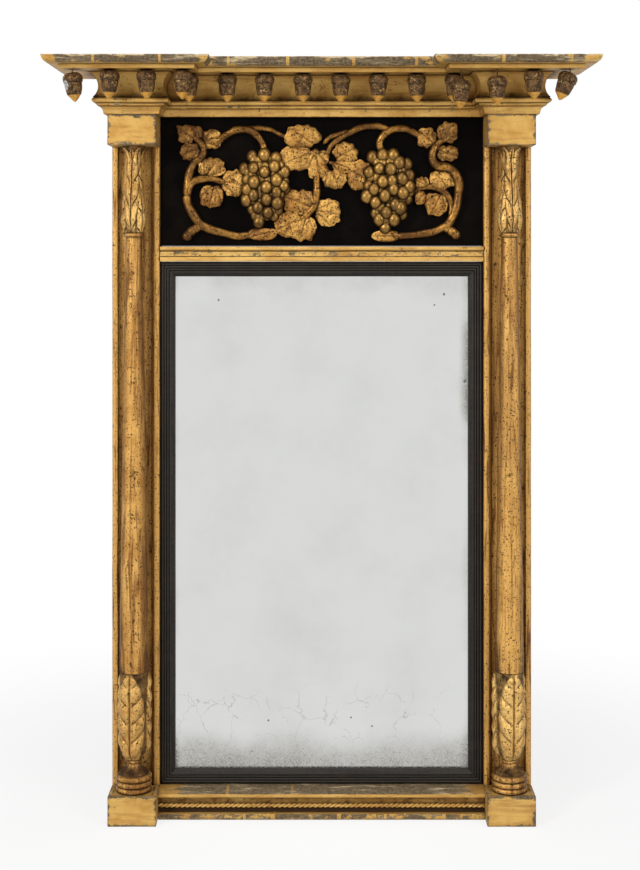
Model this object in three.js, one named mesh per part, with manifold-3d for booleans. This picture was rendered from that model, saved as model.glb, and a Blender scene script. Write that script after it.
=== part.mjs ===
// A pier mirror: a gilt and black carcase with two columns, a breakfront cornice hung with acorns,
// a frieze carved with a vine, and a mirror plate inside a reeded slip. It hangs on a wall.
//
// Millimetres, +Z up, +X to the viewer's right. The wall is behind, at +Y, so the front faces -Y.
// While it is built, the feet stand at z = 0 and the wall is the plane y = 0. At the end everything is
// moved so that the origin is the middle of the top rail's back face, which lies against the wall.

import * as THREE from 'three';
import { mergeVertices } from 'three/addons/utils/BufferGeometryUtils.js';
import Module from 'manifold-3d';

const wasm = await Module();
wasm.setup();

// ---------------------------------------------------------------- driving dimensions

const seat = 0.3; // gap left at every planted, glued or seated joint
const mitreGap = 0.2; // half of the gap across a mitre, measured along the moulding

// Carcase
const stileWidth = 66.5;
const carcaseDepth = 32; // from the wall to the face of the stiles
const openingWidth = 453; // between the stiles
const filletWidth = 6.5; // raised strip along both edges of a stile
const recessDepth = 10; // the stile's face between its fillets lies this far back
const bottomRailHeight = 40;
const middleRailHeight = 21.4;
const friezeHeight = 182;
const topBoardThickness = 6;

// Blocks and cornice
const plinthHeight = 41;
const capitalHeight = 42; // the part of the capital block below the cornice
const blockProjection = 48; // plinths, capital blocks and forward cornice, in front of the stiles
const corniceHeight = 73;
const soffitHeight = 56.7; // flat underside that the acorns hang from, above the cornice's foot
const soffitOverhang = 57;
const slabOverhang = 77.7; // the cornice's widest projection beyond the face it is planted on
const slabLip = 11; // height of the top slab's moulded edge

// Columns, from the plinth up
const columnSetForward = 21; // column axis in front of the stiles' faces
const columnBaseHeight = 44;
const lowerLeafHeight = 121;
const shaftHeight = 606;
const upperLeafHeight = 120;
const columnRingRadius = 24.7;
const ringPitch = 8;
const ringCount = 3;
const columnNeckRadius = 9.3;
const shaftFootRadius = 20;
const shaftTopRadius = 11.2;
const astragalRadius = 14.2;
const astragalHeight = 6;
const lowerLeafFootRadius = 12; // radii of the core under the carved leaves, from its foot upwards
const lowerLeafSwell = 18.5;
const lowerLeafBelly = 20;
const lowerLeafTopInset = 1.5; // the core's top is this much slimmer than the shaft's foot
const lowerLeafRelief = 3;
const upperLeafFootRadius = 13;
const upperLeafBulge = 16.5;
const upperLeafWaist = 7.6;
const upperLeafFlare = 13;
const upperLeafLip = 17.5;
const upperLeafRelief = 2;
const columnSides = 20;

// Mirror plate, slip, backboard and frieze panel
const slipWidth = 20.6;
const slipHeight = 731.5; // outside the mitred slip
const slipFaceDepth = 29; // from the wall to the slip's highest part
const reedWidth = 3.7;
const reedCount = 3;
const plateBackDepth = 15.7; // from the wall to the back of the plate
const plateThickness = 4;
const backboardThickness = 7;
const panelFaceDepth = 23;
const panelThickness = 8;

// Rope bead in the bottom rail's hollow
const ropeRadius = 2.5;
const ropeHeight = 18.3;

// Acorns
const acornLength = 40;
const cupRadius = 13.5;
const cupHeight = 13;
const nutRadius = 11.25;
const acornInset = 40; // acorns hang this far beyond the face that the cornice is planted on
const forwardAcorns = 4; // under each forward section, mitre corner to mitre corner
const centreAcorns = 8;
const centreAcornPitch = 52;
const acornSides = 8;
const pinRadius = 1.2;
const pinLength = 6;
const wireRadius = 0.8;
const wireEntry = 1.5; // how far a loose acorn's wire reaches into its hole
const wireEnd = 3; // how far a wire that runs right through stands above the cornice

// Hanging hardware
const hangerHeight = 880; // the ring's bar above the feet
const strapWidth = 16;
const strapLength = 40;
const strapThickness = 1.5;
const knuckleLength = 14;
const knuckleWall = 1.3;
const ringWireRadius = 1.6;
const ringWidth = 30;
const ringArm = 8;
const hingeClearance = 0.35;
const screwHeadRadius = 4;
const screwHeadHeight = 1.8;
const screwRadius = 1.7;
const screwLength = 14;
const screwFromBar = 26;

// ---------------------------------------------------------------- places worked out from the sizes

const halfOpening = openingWidth / 2;
const halfWidth = halfOpening + stileWidth;
const columnX = halfOpening + stileWidth / 2;
const blockFace = carcaseDepth + blockProjection;
const columnHeight = columnBaseHeight + lowerLeafHeight + shaftHeight + upperLeafHeight;
const capitalBottom = plinthHeight + columnHeight;
const corniceBottom = capitalBottom + capitalHeight;
const corniceTop = corniceBottom + corniceHeight;
const carcaseTop = corniceTop - topBoardThickness - seat;
const soffitZ = corniceBottom + soffitHeight;
const slipBottom = bottomRailHeight + seat;
const middleRailBottom = slipBottom + slipHeight + seat;
const friezeBottom = middleRailBottom + middleRailHeight + seat;
const friezeTop = friezeBottom + friezeHeight;
const topRailBottom = friezeTop + seat;
const friezeCentre = friezeBottom + friezeHeight / 2;
const wallFaceZ = (topRailBottom + carcaseTop) / 2;

// ---------------------------------------------------------------- finishes

const finish = (color, roughness, metalness) =>
  new THREE.MeshStandardMaterial({ color, roughness, metalness });
const gilt = finish(0xd2a65a, 0.4, 0.7);
const bronzedGilt = finish(0xa87c3c, 0.45, 0.6);
const wornBronze = finish(0x5a463a, 0.55, 0.3);
const black = finish(0x14110e, 0.3, 0);
const silveredGlass = finish(0xd5d6d3, 0.05, 0.9);
const bareWood = finish(0x8a6a48, 0.8, 0);
const brass = finish(0xb08d4a, 0.35, 0.9);
const steel = finish(0x6f6d6a, 0.4, 0.9);

// ---------------------------------------------------------------- solids and booleans

// Signed volume of an indexed mesh: below zero when its faces point inwards.
function signedVolume(position, index) {
  const a = new THREE.Vector3();
  const b = new THREE.Vector3();
  const c = new THREE.Vector3();
  let volume = 0;
  for (let i = 0; i < index.length; i += 3) {
    a.fromArray(position, 3 * index[i]);
    b.fromArray(position, 3 * index[i + 1]);
    c.fromArray(position, 3 * index[i + 2]);
    volume += a.dot(b.cross(c)) / 6;
  }
  return volume;
}

// Shared vertices merged, slivers with two equal corners dropped, faces turned outwards.
function tidyMesh(geometry) {
  const bare = geometry.clone();
  bare.deleteAttribute('normal');
  bare.deleteAttribute('uv');
  const merged = mergeVertices(bare, 1e-4);
  const corners = merged.index.array;
  const kept = [];
  for (let i = 0; i < corners.length; i += 3) {
    const [a, b, c] = [corners[i], corners[i + 1], corners[i + 2]];
    if (a !== b && b !== c && c !== a) kept.push(a, b, c);
  }
  if (signedVolume(merged.attributes.position.array, kept) < 0) kept.reverse();
  merged.setIndex(kept);
  return merged;
}

function toSolid(geometry) {
  const mesh = tidyMesh(geometry);
  return new wasm.Manifold(new wasm.Mesh({
    numProp: 3,
    vertProperties: Float32Array.from(mesh.attributes.position.array),
    triVerts: Uint32Array.from(mesh.index.array),
  }));
}

function toGeometry(solid) {
  const mesh = solid.getMesh();
  const geometry = new THREE.BufferGeometry();
  geometry.setAttribute('position', new THREE.BufferAttribute(mesh.vertProperties, 3));
  geometry.setIndex(new THREE.BufferAttribute(mesh.triVerts, 1));
  return geometry;
}

const joined = (geometries) =>
  toGeometry(geometries.map(toSolid).reduce((all, next) => all.add(next)));

const cut = (geometry, tools) =>
  toGeometry(tools.map(toSolid).reduce((left, tool) => left.subtract(tool), toSolid(geometry)));

// ---------------------------------------------------------------- shape helpers

function boxBetween(low, high) {
  const size = high.map((value, i) => value - low[i]);
  const middle = high.map((value, i) => (value + low[i]) / 2);
  return new THREE.BoxGeometry(...size).translate(...middle);
}

// A rod along one axis of the frame, centred on a point.
function rod(radius, length, axis, centre, sides = 12) {
  const geometry = new THREE.CylinderGeometry(radius, radius, length, sides);
  if (axis === 'x') geometry.rotateZ(Math.PI / 2);
  if (axis === 'z') geometry.rotateX(Math.PI / 2);
  return geometry.translate(...centre);
}

// A turned piece: its profile is a list of [radius, height], standing on +Z.
function turned(profile, sides) {
  const points = profile.map(([radius, height]) => new THREE.Vector2(radius, height));
  return new THREE.LatheGeometry(points, sides).rotateX(Math.PI / 2);
}

// A straight length of moulding. The outline is a closed list of [out, up]; startOf and endOf give where
// the length begins and ends at each projection, which makes square ends or mitres; place turns out, up
// and the distance along into a point.
function moulding(outline, startOf, endOf, place) {
  const corners = outline.map(([out, up]) => new THREE.Vector2(out, up));
  const count = corners.length;
  const points = [
    ...corners.map(({ x, y }) => place(x, y, startOf(x))),
    ...corners.map(({ x, y }) => place(x, y, endOf(x))),
  ];
  const index = [];
  for (let i = 0; i < count; i += 1) {
    const next = (i + 1) % count;
    index.push(i, next, count + next, i, count + next, count + i);
  }
  const capTurn = THREE.ShapeUtils.isClockWise(corners) ? -1 : 1;
  for (const [a, b, c] of THREE.ShapeUtils.triangulateShape(corners, [])) {
    const near = capTurn > 0 ? [a, c, b] : [a, b, c];
    const far = near.map((corner) => corner + count).reverse();
    index.push(...near, ...far);
  }
  return closedMesh(points, index);
}

function closedMesh(points, index) {
  const geometry = new THREE.BufferGeometry();
  geometry.setAttribute('position', new THREE.Float32BufferAttribute(points.flat(), 3));
  geometry.setIndex(index);
  return geometry;
}

// Points on an arc of an ellipse, from one angle to another, both ends included.
function arc([centreX, centreY], radiusX, radiusY, fromDegrees, toDegrees, steps) {
  return Array.from({ length: steps + 1 }, (_, i) => {
    const angle = THREE.MathUtils.degToRad(fromDegrees + ((toDegrees - fromDegrees) * i) / steps);
    return [centreX + radiusX * Math.cos(angle), centreY + radiusY * Math.sin(angle)];
  });
}

// A skin made of rings that all hold the same number of points, closed by a fan at both ends.
function ringSkin(rings) {
  const around = rings[0].length;
  const middleOf = (ring) =>
    [0, 1, 2].map((axis) => ring.reduce((sum, point) => sum + point[axis], 0) / around);
  const points = [...rings.flat(), middleOf(rings[0]), middleOf(rings[rings.length - 1])];
  const index = [];
  for (let i = 0; i < rings.length - 1; i += 1) {
    for (let j = 0; j < around; j += 1) {
      const here = i * around + j;
      const beside = i * around + ((j + 1) % around);
      index.push(here, beside, beside + around, here, beside + around, here + around);
    }
  }
  const firstMiddle = rings.length * around;
  const lastRing = (rings.length - 1) * around;
  for (let j = 0; j < around; j += 1) {
    const next = (j + 1) % around;
    index.push(firstMiddle, next, j);
    index.push(firstMiddle + 1, lastRing + j, lastRing + next);
  }
  return closedMesh(points, index);
}

const mirroredX = (geometry) => tidyMesh(geometry.clone().scale(-1, 1, 1));

// ---------------------------------------------------------------- the group

const mirrorGroup = new THREE.Group();
mirrorGroup.position.z = -wallFaceZ;

function addPart(name, geometry, material, position = [0, 0, 0]) {
  const mesh = new THREE.Mesh(tidyMesh(geometry), material);
  mesh.geometry.computeVertexNormals();
  mesh.name = name;
  mesh.position.set(...position);
  mirrorGroup.add(mesh);
}

const sides = [['left', -1], ['right', 1]];
const onSide = (side, geometry) => (side < 0 ? mirroredX(geometry) : geometry);

// ---------------------------------------------------------------- carcase

function screwAxisZ() {
  return hangerHeight + screwFromBar;
}

function stile() {
  const body = boxBetween([halfOpening, -carcaseDepth, 0], [halfWidth, 0, carcaseTop]);
  const recess = boxBetween(
    [halfOpening + filletWidth, -carcaseDepth - 1, plinthHeight],
    [halfWidth - filletWidth, -carcaseDepth + recessDepth, capitalBottom],
  );
  const screwHole = rod(screwRadius + seat, 2 * screwLength, 'y', [columnX, 0, screwAxisZ()], 8);
  return cut(body, [recess, screwHole]);
}

// A rail that fits between the stiles; its outline is a list of [depth from the wall, height].
function rail(outline, bottom) {
  const along = halfOpening - seat;
  return moulding(
    outline,
    () => -along,
    () => along,
    (depth, up, x) => [x, -depth, bottom + up],
  );
}

function middleRailOutline() {
  const fillet = 6.7;
  const beadWidth = 6.4;
  const bandDepth = carcaseDepth - 1.5;
  const beadFoot = carcaseDepth - 1;
  const beadCentre = middleRailHeight - beadWidth / 2;
  return [
    [0, 0],
    [carcaseDepth, 0],
    [carcaseDepth, fillet],
    [bandDepth, fillet],
    [bandDepth, middleRailHeight - beadWidth],
    ...arc([beadFoot, beadCentre], 2.6, beadWidth / 2, -90, 90, 6),
    [0, middleRailHeight],
  ];
}

const bottomRailFace = carcaseDepth + 24;
const ropeBackDepth = carcaseDepth + 14;

function bottomRailOutline() {
  const filletTop = 35.8;
  const filletBottom = 31.5;
  const footTop = 8.2;
  const footDepth = bottomRailFace - 2;
  const coveWidth = bottomRailFace - 4 - ropeBackDepth;
  const coveBottom = ropeHeight + ropeRadius + seat;
  return [
    [0, 0],
    [footDepth, 0],
    [footDepth, footTop],
    [ropeBackDepth + 1, footTop],
    [ropeBackDepth, ropeHeight - ropeRadius],
    ...arc([ropeBackDepth + coveWidth, coveBottom], coveWidth, filletBottom - coveBottom, 180, 90, 4),
    [bottomRailFace, filletBottom],
    [bottomRailFace, filletTop],
    [carcaseDepth, bottomRailHeight],
    [0, bottomRailHeight],
  ];
}

function addCarcase() {
  for (const [word, side] of sides) {
    addPart(`stile_${word}`, onSide(side, stile()), bronzedGilt);
  }
  const topRailHeight = carcaseTop - topRailBottom;
  const plain = [[0, 0], [carcaseDepth, 0], [carcaseDepth, topRailHeight], [0, topRailHeight]];
  addPart('top_rail', rail(plain, topRailBottom), bareWood);
  addPart('middle_rail', rail(middleRailOutline(), middleRailBottom), gilt);
  addPart('bottom_rail', rail(bottomRailOutline(), 0), bronzedGilt);
  const ropeCentre = [0, -(ropeBackDepth + seat + ropeRadius), ropeHeight];
  addPart('rope_bead', rod(ropeRadius, openingWidth - 2 * seat, 'x', ropeCentre, 10), gilt);

  const boardPlan = new THREE.Shape([
    new THREE.Vector2(-halfWidth, 0),
    new THREE.Vector2(-halfWidth, -blockFace),
    new THREE.Vector2(-halfOpening, -blockFace),
    new THREE.Vector2(-halfOpening, -carcaseDepth),
    new THREE.Vector2(halfOpening, -carcaseDepth),
    new THREE.Vector2(halfOpening, -blockFace),
    new THREE.Vector2(halfWidth, -blockFace),
    new THREE.Vector2(halfWidth, 0),
  ]);
  const board = new THREE.ExtrudeGeometry(boardPlan, { depth: topBoardThickness, bevelEnabled: false });
  addPart('cornice_top_board', board, bareWood, [0, 0, corniceTop - topBoardThickness]);
}

function addBlocks() {
  for (const [word, side] of sides) {
    const near = -(carcaseDepth + seat);
    const plinth = boxBetween([halfOpening, -blockFace, 0], [halfWidth, near, plinthHeight]);
    const capital = boxBetween([halfOpening, -blockFace, capitalBottom], [halfWidth, near, carcaseTop]);
    addPart(`plinth_${word}`, onSide(side, plinth), gilt);
    addPart(`capital_block_${word}`, onSide(side, capital), gilt);
  }
}

// ---------------------------------------------------------------- columns

function columnBaseProfile() {
  const collarRadius = 10.8;
  const collarHeight = 5;
  const neckHeight = columnBaseHeight - collarHeight;
  const ringTop = ringCount * ringPitch;
  const ringFoot = columnRingRadius - ringPitch / 2;
  const rings = Array.from({ length: ringCount }, (_, i) =>
    arc([ringFoot, (i + 0.5) * ringPitch], ringPitch / 2, ringPitch / 2.1, -75, 75, 3),
  );
  return [
    [0, seat],
    [ringFoot, seat],
    ...rings.flat(),
    [columnRingRadius - 4.2, ringTop + 3],
    [columnNeckRadius + 4.5, ringTop + 6],
    [columnNeckRadius + 1, neckHeight - 4.5],
    [columnNeckRadius, neckHeight],
    [collarRadius, neckHeight + 0.5],
    [collarRadius, columnBaseHeight],
    [0, columnBaseHeight],
  ];
}

function shaftProfile() {
  const astragalBottom = shaftHeight - astragalHeight;
  return [
    [0, seat],
    [shaftFootRadius, seat],
    [shaftTopRadius, astragalBottom],
    ...arc([astragalRadius - 3, shaftHeight - astragalHeight / 2], 3, astragalHeight / 2.1, -80, 80, 4),
    [0, shaftHeight],
  ];
}

// A carved collar of four leaves. coreAt gives the radius under the leaves at a share of the height;
// each leaf stands up by relief at its middle and dies away at its edges, its tip and its foot.
function leafCollar(height, coreAt, relief) {
  const levels = 10;
  const leaves = 4;
  const rings = Array.from({ length: levels + 1 }, (_, i) => {
    const share = i / levels;
    const rise = relief * Math.sin(Math.PI * Math.min(1, share * 1.05));
    return Array.from({ length: columnSides }, (__, j) => {
      const angle = (2 * Math.PI * j) / columnSides;
      const leaf = Math.max(0, Math.cos(leaves * angle)) ** 0.5;
      const radius = coreAt(share) + rise * leaf;
      return [radius * Math.cos(angle), radius * Math.sin(angle), seat + (height - 2 * seat) * share];
    });
  });
  return ringSkin(rings);
}

// Linear interpolation through [share, radius] stations.
function radiusThrough(stations) {
  return (share) => {
    const next = Math.max(1, stations.findIndex(([at]) => at >= share));
    const [[fromAt, from], [toAt, to]] = [stations[next - 1], stations[next]];
    return from + ((to - from) * (share - fromAt)) / (toAt - fromAt);
  };
}

function addColumns() {
  const lowerLeafCore = radiusThrough([
    [0, lowerLeafFootRadius],
    [0.1, lowerLeafSwell],
    [0.5, lowerLeafBelly],
    [1, shaftFootRadius - lowerLeafTopInset],
  ]);
  const upperLeafCore = radiusThrough([
    [0, upperLeafFootRadius],
    [0.3, upperLeafBulge],
    [0.85, upperLeafWaist],
    [0.95, upperLeafFlare],
    [1, upperLeafLip],
  ]);
  const pieces = [
    ['base', columnBaseHeight, turned(columnBaseProfile(), columnSides)],
    ['lower_leaf', lowerLeafHeight, leafCollar(lowerLeafHeight, lowerLeafCore, lowerLeafRelief)],
    ['shaft', shaftHeight, turned(shaftProfile(), columnSides)],
    ['upper_leaf', upperLeafHeight, leafCollar(upperLeafHeight, upperLeafCore, upperLeafRelief)],
  ];
  const columnY = -(carcaseDepth + columnSetForward);
  for (const [word, side] of sides) {
    let foot = plinthHeight;
    for (const [piece, height, geometry] of pieces) {
      addPart(`column_${piece}_${word}`, geometry, bronzedGilt, [side * columnX, columnY, foot]);
      foot += height;
    }
  }
}

// ---------------------------------------------------------------- mirror plate and slip

// The slip's outline: [distance in from its outer edge, depth from the wall].
function slipOutline() {
  const back = plateBackDepth + plateThickness + seat;
  const groove = slipFaceDepth - 2.5;
  const grooveWidth = 1.6;
  const bandStart = grooveWidth + reedCount * reedWidth;
  const reeds = Array.from({ length: reedCount }, (_, i) =>
    arc([grooveWidth + (i + 0.5) * reedWidth, groove], reedWidth / 2, 1.7, 180, 0, 4),
  );
  return [
    [0, back],
    [0, groove],
    ...reeds.flatMap((reed, i) => (i === 0 ? reed : reed.slice(1))),
    [bandStart + 0.6, slipFaceDepth],
    [slipWidth, slipFaceDepth - 4],
    [slipWidth, back],
  ];
}

function addSlip() {
  const outline = slipOutline();
  const half = halfOpening - seat;
  const start = (inwards) => inwards + mitreGap;
  for (const [word, side] of sides) {
    const length = moulding(
      outline,
      start,
      (inwards) => slipHeight - start(inwards),
      (inwards, depth, up) => [half - inwards, -depth, slipBottom + up],
    );
    addPart(`slip_${word}`, onSide(side, length), black);
  }
  const across = (zOf) => moulding(
    outline,
    (inwards) => -half + start(inwards),
    (inwards) => half - start(inwards),
    (inwards, depth, x) => [x, -depth, zOf(inwards)],
  );
  addPart('slip_bottom', across((inwards) => slipBottom + inwards), black);
  addPart('slip_top', across((inwards) => slipBottom + slipHeight - inwards), black);
}

function addPlate() {
  const half = halfOpening - seat;
  const slipTop = slipBottom + slipHeight;
  const plateFront = plateBackDepth + plateThickness;
  addPart(
    'mirror_plate',
    boxBetween([-half, -plateFront, slipBottom], [half, -plateBackDepth, slipTop]),
    silveredGlass,
  );
  const boardFront = plateBackDepth - seat;
  addPart(
    'plate_backboard',
    boxBetween([-half, -boardFront, slipBottom], [half, -boardFront + backboardThickness, slipTop]),
    bareWood,
  );
  addPart(
    'frieze_panel',
    boxBetween([-half, -panelFaceDepth, friezeBottom], [half, -panelFaceDepth + panelThickness, friezeTop]),
    black,
  );
}

// ---------------------------------------------------------------- cornice

// The cornice's outline: [overhang, height above its foot], from the foot round to the top.
function corniceOutline() {
  const scotiaRadius = 21.4;
  const scotia = arc([32.4, 37.5], scotiaRadius, scotiaRadius, 229, 117, 6);
  const torus = arc([14.9, 18], 3.9, 3.4, -70, 70, 4);
  return [
    [seat, 0],
    [4.7, 0],
    [5.6, 5],
    [8, 9.8],
    [12.9, 11.3],
    ...torus,
    ...scotia,
    [soffitOverhang, soffitHeight],
    [soffitOverhang + 1, corniceHeight - slabLip + 0.5],
    [soffitOverhang + 11.3, corniceHeight - slabLip],
    [slabOverhang - 3.9, corniceHeight - slabLip + 2],
    [slabOverhang - 1, corniceHeight - slabLip / 2],
    [slabOverhang, corniceHeight],
    [seat, corniceHeight],
  ];
}

// Where the forward acorns hang on the right-hand side, from the inner mitre corner to the outer one.
function forwardAcornX(place) {
  const inner = halfOpening - acornInset;
  const outer = halfWidth + acornInset;
  return inner + ((outer - inner) * place) / (forwardAcorns - 1);
}

const centreAcornX = (place) => (place - (centreAcorns - 1) / 2) * centreAcornPitch;
const forwardAcornY = -(blockFace + acornInset);
const centreAcornY = -(carcaseDepth + acornInset);

// Loose and bent acorns: side, place from the inner one, how low they hang, tilt of the tip towards +X in
// degrees, and whether they swing.
const hangingAcorns = [
  { side: -1, place: 3, drop: 4, tilt: 6.5, swings: true },
  { side: 1, place: 0, drop: 13, tilt: -3, swings: true },
  { side: 1, place: 1, drop: 8, tilt: 0, swings: true },
  { side: 1, place: 3, drop: 4, tilt: -18, swings: false },
];
// The acorn whose wire runs right through the cornice and is bent over on top.
const throughAcorn = { side: 1, place: 2 };

const samePlace = (side, place) => (acorn) => acorn.side === side && acorn.place === place;

function acornHole(side, place, x, y) {
  if (samePlace(side, place)(throughAcorn)) {
    return rod(wireRadius + seat, 3 * corniceHeight, 'z', [x, y, soffitZ], 8);
  }
  const loose = hangingAcorns.find(samePlace(side, place));
  const radius = loose ? wireRadius + 3 * seat : pinRadius + seat;
  const depth = loose ? 2 * wireEntry : pinLength + seat;
  return rod(radius, 2 * depth, 'z', [x, y, soffitZ], 8);
}

// Holes of one forward section, drawn on the right-hand side.
function forwardHoles(side, places) {
  return places.map((place) => acornHole(side, place, forwardAcornX(place), forwardAcornY));
}

function addCornice() {
  const outline = corniceOutline();
  const lengthwise = (face) => (out, up, x) => [x, -(face + out), corniceBottom + up];
  const centre = moulding(
    outline,
    (out) => -(halfOpening - out) + mitreGap,
    (out) => halfOpening - out - mitreGap,
    lengthwise(carcaseDepth),
  );
  const centreHoles = Array.from({ length: centreAcorns }, (_, place) =>
    acornHole(0, place, centreAcornX(place), centreAcornY),
  );
  addPart('cornice_centre', cut(centre, centreHoles), gilt);

  const lastPlace = forwardAcorns - 1;
  for (const [word, side] of sides) {
    const front = moulding(
      outline,
      (out) => halfOpening - out + mitreGap,
      (out) => halfWidth + out - mitreGap,
      lengthwise(blockFace),
    );
    const everyPlace = Array.from({ length: forwardAcorns }, (_, place) => place);
    const drilledFront = cut(front, forwardHoles(side, everyPlace));
    addPart(`cornice_front_${word}`, onSide(side, drilledFront), gilt);

    const innerReturn = moulding(
      outline,
      (out) => -(blockFace + out) + mitreGap,
      (out) => -(carcaseDepth + out) - mitreGap,
      (out, up, y) => [halfOpening - out, y, corniceBottom + up],
    );
    const drilledInner = cut(innerReturn, forwardHoles(side, [0]));
    addPart(`cornice_inner_return_${word}`, onSide(side, drilledInner), gilt);

    const sideReturn = moulding(
      outline,
      (out) => -(blockFace + out) + mitreGap,
      () => 0,
      (out, up, y) => [halfWidth + out, y, corniceBottom + up],
    );
    const drilledSide = cut(sideReturn, forwardHoles(side, [lastPlace]));
    addPart(`cornice_side_return_${word}`, onSide(side, drilledSide), gilt);
  }
}

// ---------------------------------------------------------------- acorns

// An acorn hanging point down from z = 0: [radius, height], tip first.
function acornProfile() {
  const nutLength = acornLength - cupHeight;
  return [
    [0, -acornLength],
    [nutRadius * 0.3, -acornLength + nutLength * 0.1],
    [nutRadius * 0.68, -acornLength + nutLength * 0.33],
    [nutRadius * 0.95, -acornLength + nutLength * 0.62],
    [nutRadius, -cupHeight - 1],
    [cupRadius * 0.93, -cupHeight],
    [cupRadius, -cupHeight * 0.75],
    [cupRadius * 0.94, -cupHeight * 0.42],
    [cupRadius * 0.68, -cupHeight * 0.14],
    [0, 0],
  ];
}

// How far the centre of a turned solid lies below its top: a sum over its conical slices.
function centreBelowTop(profile) {
  let volume = 0;
  let moment = 0;
  for (let i = 1; i < profile.length; i += 1) {
    const [[r0, z0], [r1, z1]] = [profile[i - 1], profile[i]];
    const slice = (z1 - z0) * (r0 * r0 + r0 * r1 + r1 * r1);
    volume += slice;
    moment += slice * ((z0 + z1) / 2);
  }
  return -moment / volume;
}

// A round section swept along a curve, closed at both ends.
function sweep(radius, path, steps) {
  const section = new THREE.Shape(
    arc([0, 0], radius, radius, 0, 300, 5).map(([x, y]) => new THREE.Vector2(x, y)),
  );
  return new THREE.ExtrudeGeometry(section, { steps, extrudePath: path, bevelEnabled: false });
}

// A wire through points.
function wire(radius, points, steps) {
  const path = new THREE.CatmullRomCurve3(points.map((point) => new THREE.Vector3(...point)));
  return sweep(radius, path, steps);
}

function fixedAcorn() {
  const pin = rod(pinRadius, pinLength + 2, 'z', [0, 0, pinLength / 2 - 1], 6);
  return joined([turned(acornProfile(), acornSides), pin]).translate(0, 0, -seat);
}

function throughWiredAcorn() {
  const slabThickness = corniceTop - soffitZ;
  const path = [
    [0, 0, -3],
    [0, 0, slabThickness],
    [0, 0, slabThickness + wireEnd * 0.6],
    [-2, 0, slabThickness + wireEnd],
  ];
  return joined([turned(acornProfile(), acornSides), wire(wireRadius, path, 8)]).translate(0, 0, -seat);
}

// A loose acorn turns about y at the soffit. Its wire is bent so that its middle hangs right below that
// point, which is how it comes to rest; one on a stiff wire stays where it was pushed.
function wiredAcorn({ drop, tilt, swings }) {
  const angle = THREE.MathUtils.degToRad(tilt);
  const aside = swings ? -centreBelowTop(acornProfile()) * Math.sin(angle) : 0;
  const nut = turned(acornProfile(), acornSides).rotateY(-angle).translate(aside, 0, -drop);
  const intoCup = [aside + 3 * Math.sin(angle), 0, -drop - 3 * Math.cos(angle)];
  const path = [[0, 0, wireEntry], [0, 0, 0], [aside, 0, -drop], intoCup];
  return joined([nut, wire(wireRadius, path, 6)]);
}

function addAcorns() {
  const straight = fixedAcorn();
  for (let place = 0; place < centreAcorns; place += 1) {
    const position = [centreAcornX(place), centreAcornY, soffitZ];
    addPart(`acorn_centre_${place + 1}`, straight, wornBronze, position);
  }
  for (const [word, side] of sides) {
    for (let place = 0; place < forwardAcorns; place += 1) {
      const hanging = hangingAcorns.find(samePlace(side, place));
      const through = samePlace(side, place)(throughAcorn);
      const position = [side * forwardAcornX(place), forwardAcornY, soffitZ];
      const shape = hanging ? wiredAcorn(hanging) : through ? throughWiredAcorn() : straight;
      addPart(`acorn_${word}_${place + 1}`, shape, wornBronze, position);
    }
  }
}

// ---------------------------------------------------------------- the vine on the frieze

// The carving is drawn flat: x to the right and y up from the frieze's centre, and z out from the panel.
// It is drawn for a panel of this width and height, and the whole drawing is fitted to the frieze.
const drawnPanel = [453, 182];
const leafEdge = 4.5; // height of a leaf's edge above the panel
const leafCrown = 9; // height of its middle

// One toothed lobe of a vine leaf, grown outwards by a clearance when it is a cutting tool.
function leafLobe([x, y, halfLong, halfWide, turn = 0], grow) {
  const teeth = 6;
  const around = 2 * teeth;
  const outline = (scale, height) => Array.from({ length: around }, (_, i) => {
    const angle = (2 * Math.PI * i) / around;
    const tooth = (i % 2 === 0 ? 1 : 0.88) * scale;
    const along = (halfLong * tooth + grow) * Math.cos(angle);
    const across = (halfWide * tooth + grow) * Math.sin(angle);
    const lean = THREE.MathUtils.degToRad(turn);
    return [
      x + along * Math.cos(lean) - across * Math.sin(lean),
      y + along * Math.sin(lean) + across * Math.cos(lean),
      height,
    ];
  });
  return ringSkin([
    outline(1, seat - grow),
    outline(1, leafEdge + grow),
    outline(0.45, leafCrown + grow),
  ]);
}

// A stem through points, round in section and tapering from its first radius to its last.
function stem({ radii: [first, last], path }, grow) {
  const stemSides = 6;
  const curve = new THREE.CatmullRomCurve3(path.map(([x, y]) => new THREE.Vector3(x, y, 0)));
  const steps = path.length + 2;
  const rings = Array.from({ length: steps + 1 }, (_, i) => {
    const share = i / steps;
    const radius = first + (last - first) * share;
    const centre = curve.getPoint(share);
    const along = curve.getTangent(share);
    return arc([0, radius + seat], radius + grow, radius + grow, 0, 360 - 360 / stemSides, stemSides - 1)
      .map(([sideways, out]) => [centre.x - along.y * sideways, centre.y + along.x * sideways, out]);
  });
  return ringSkin(rings);
}

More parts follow.
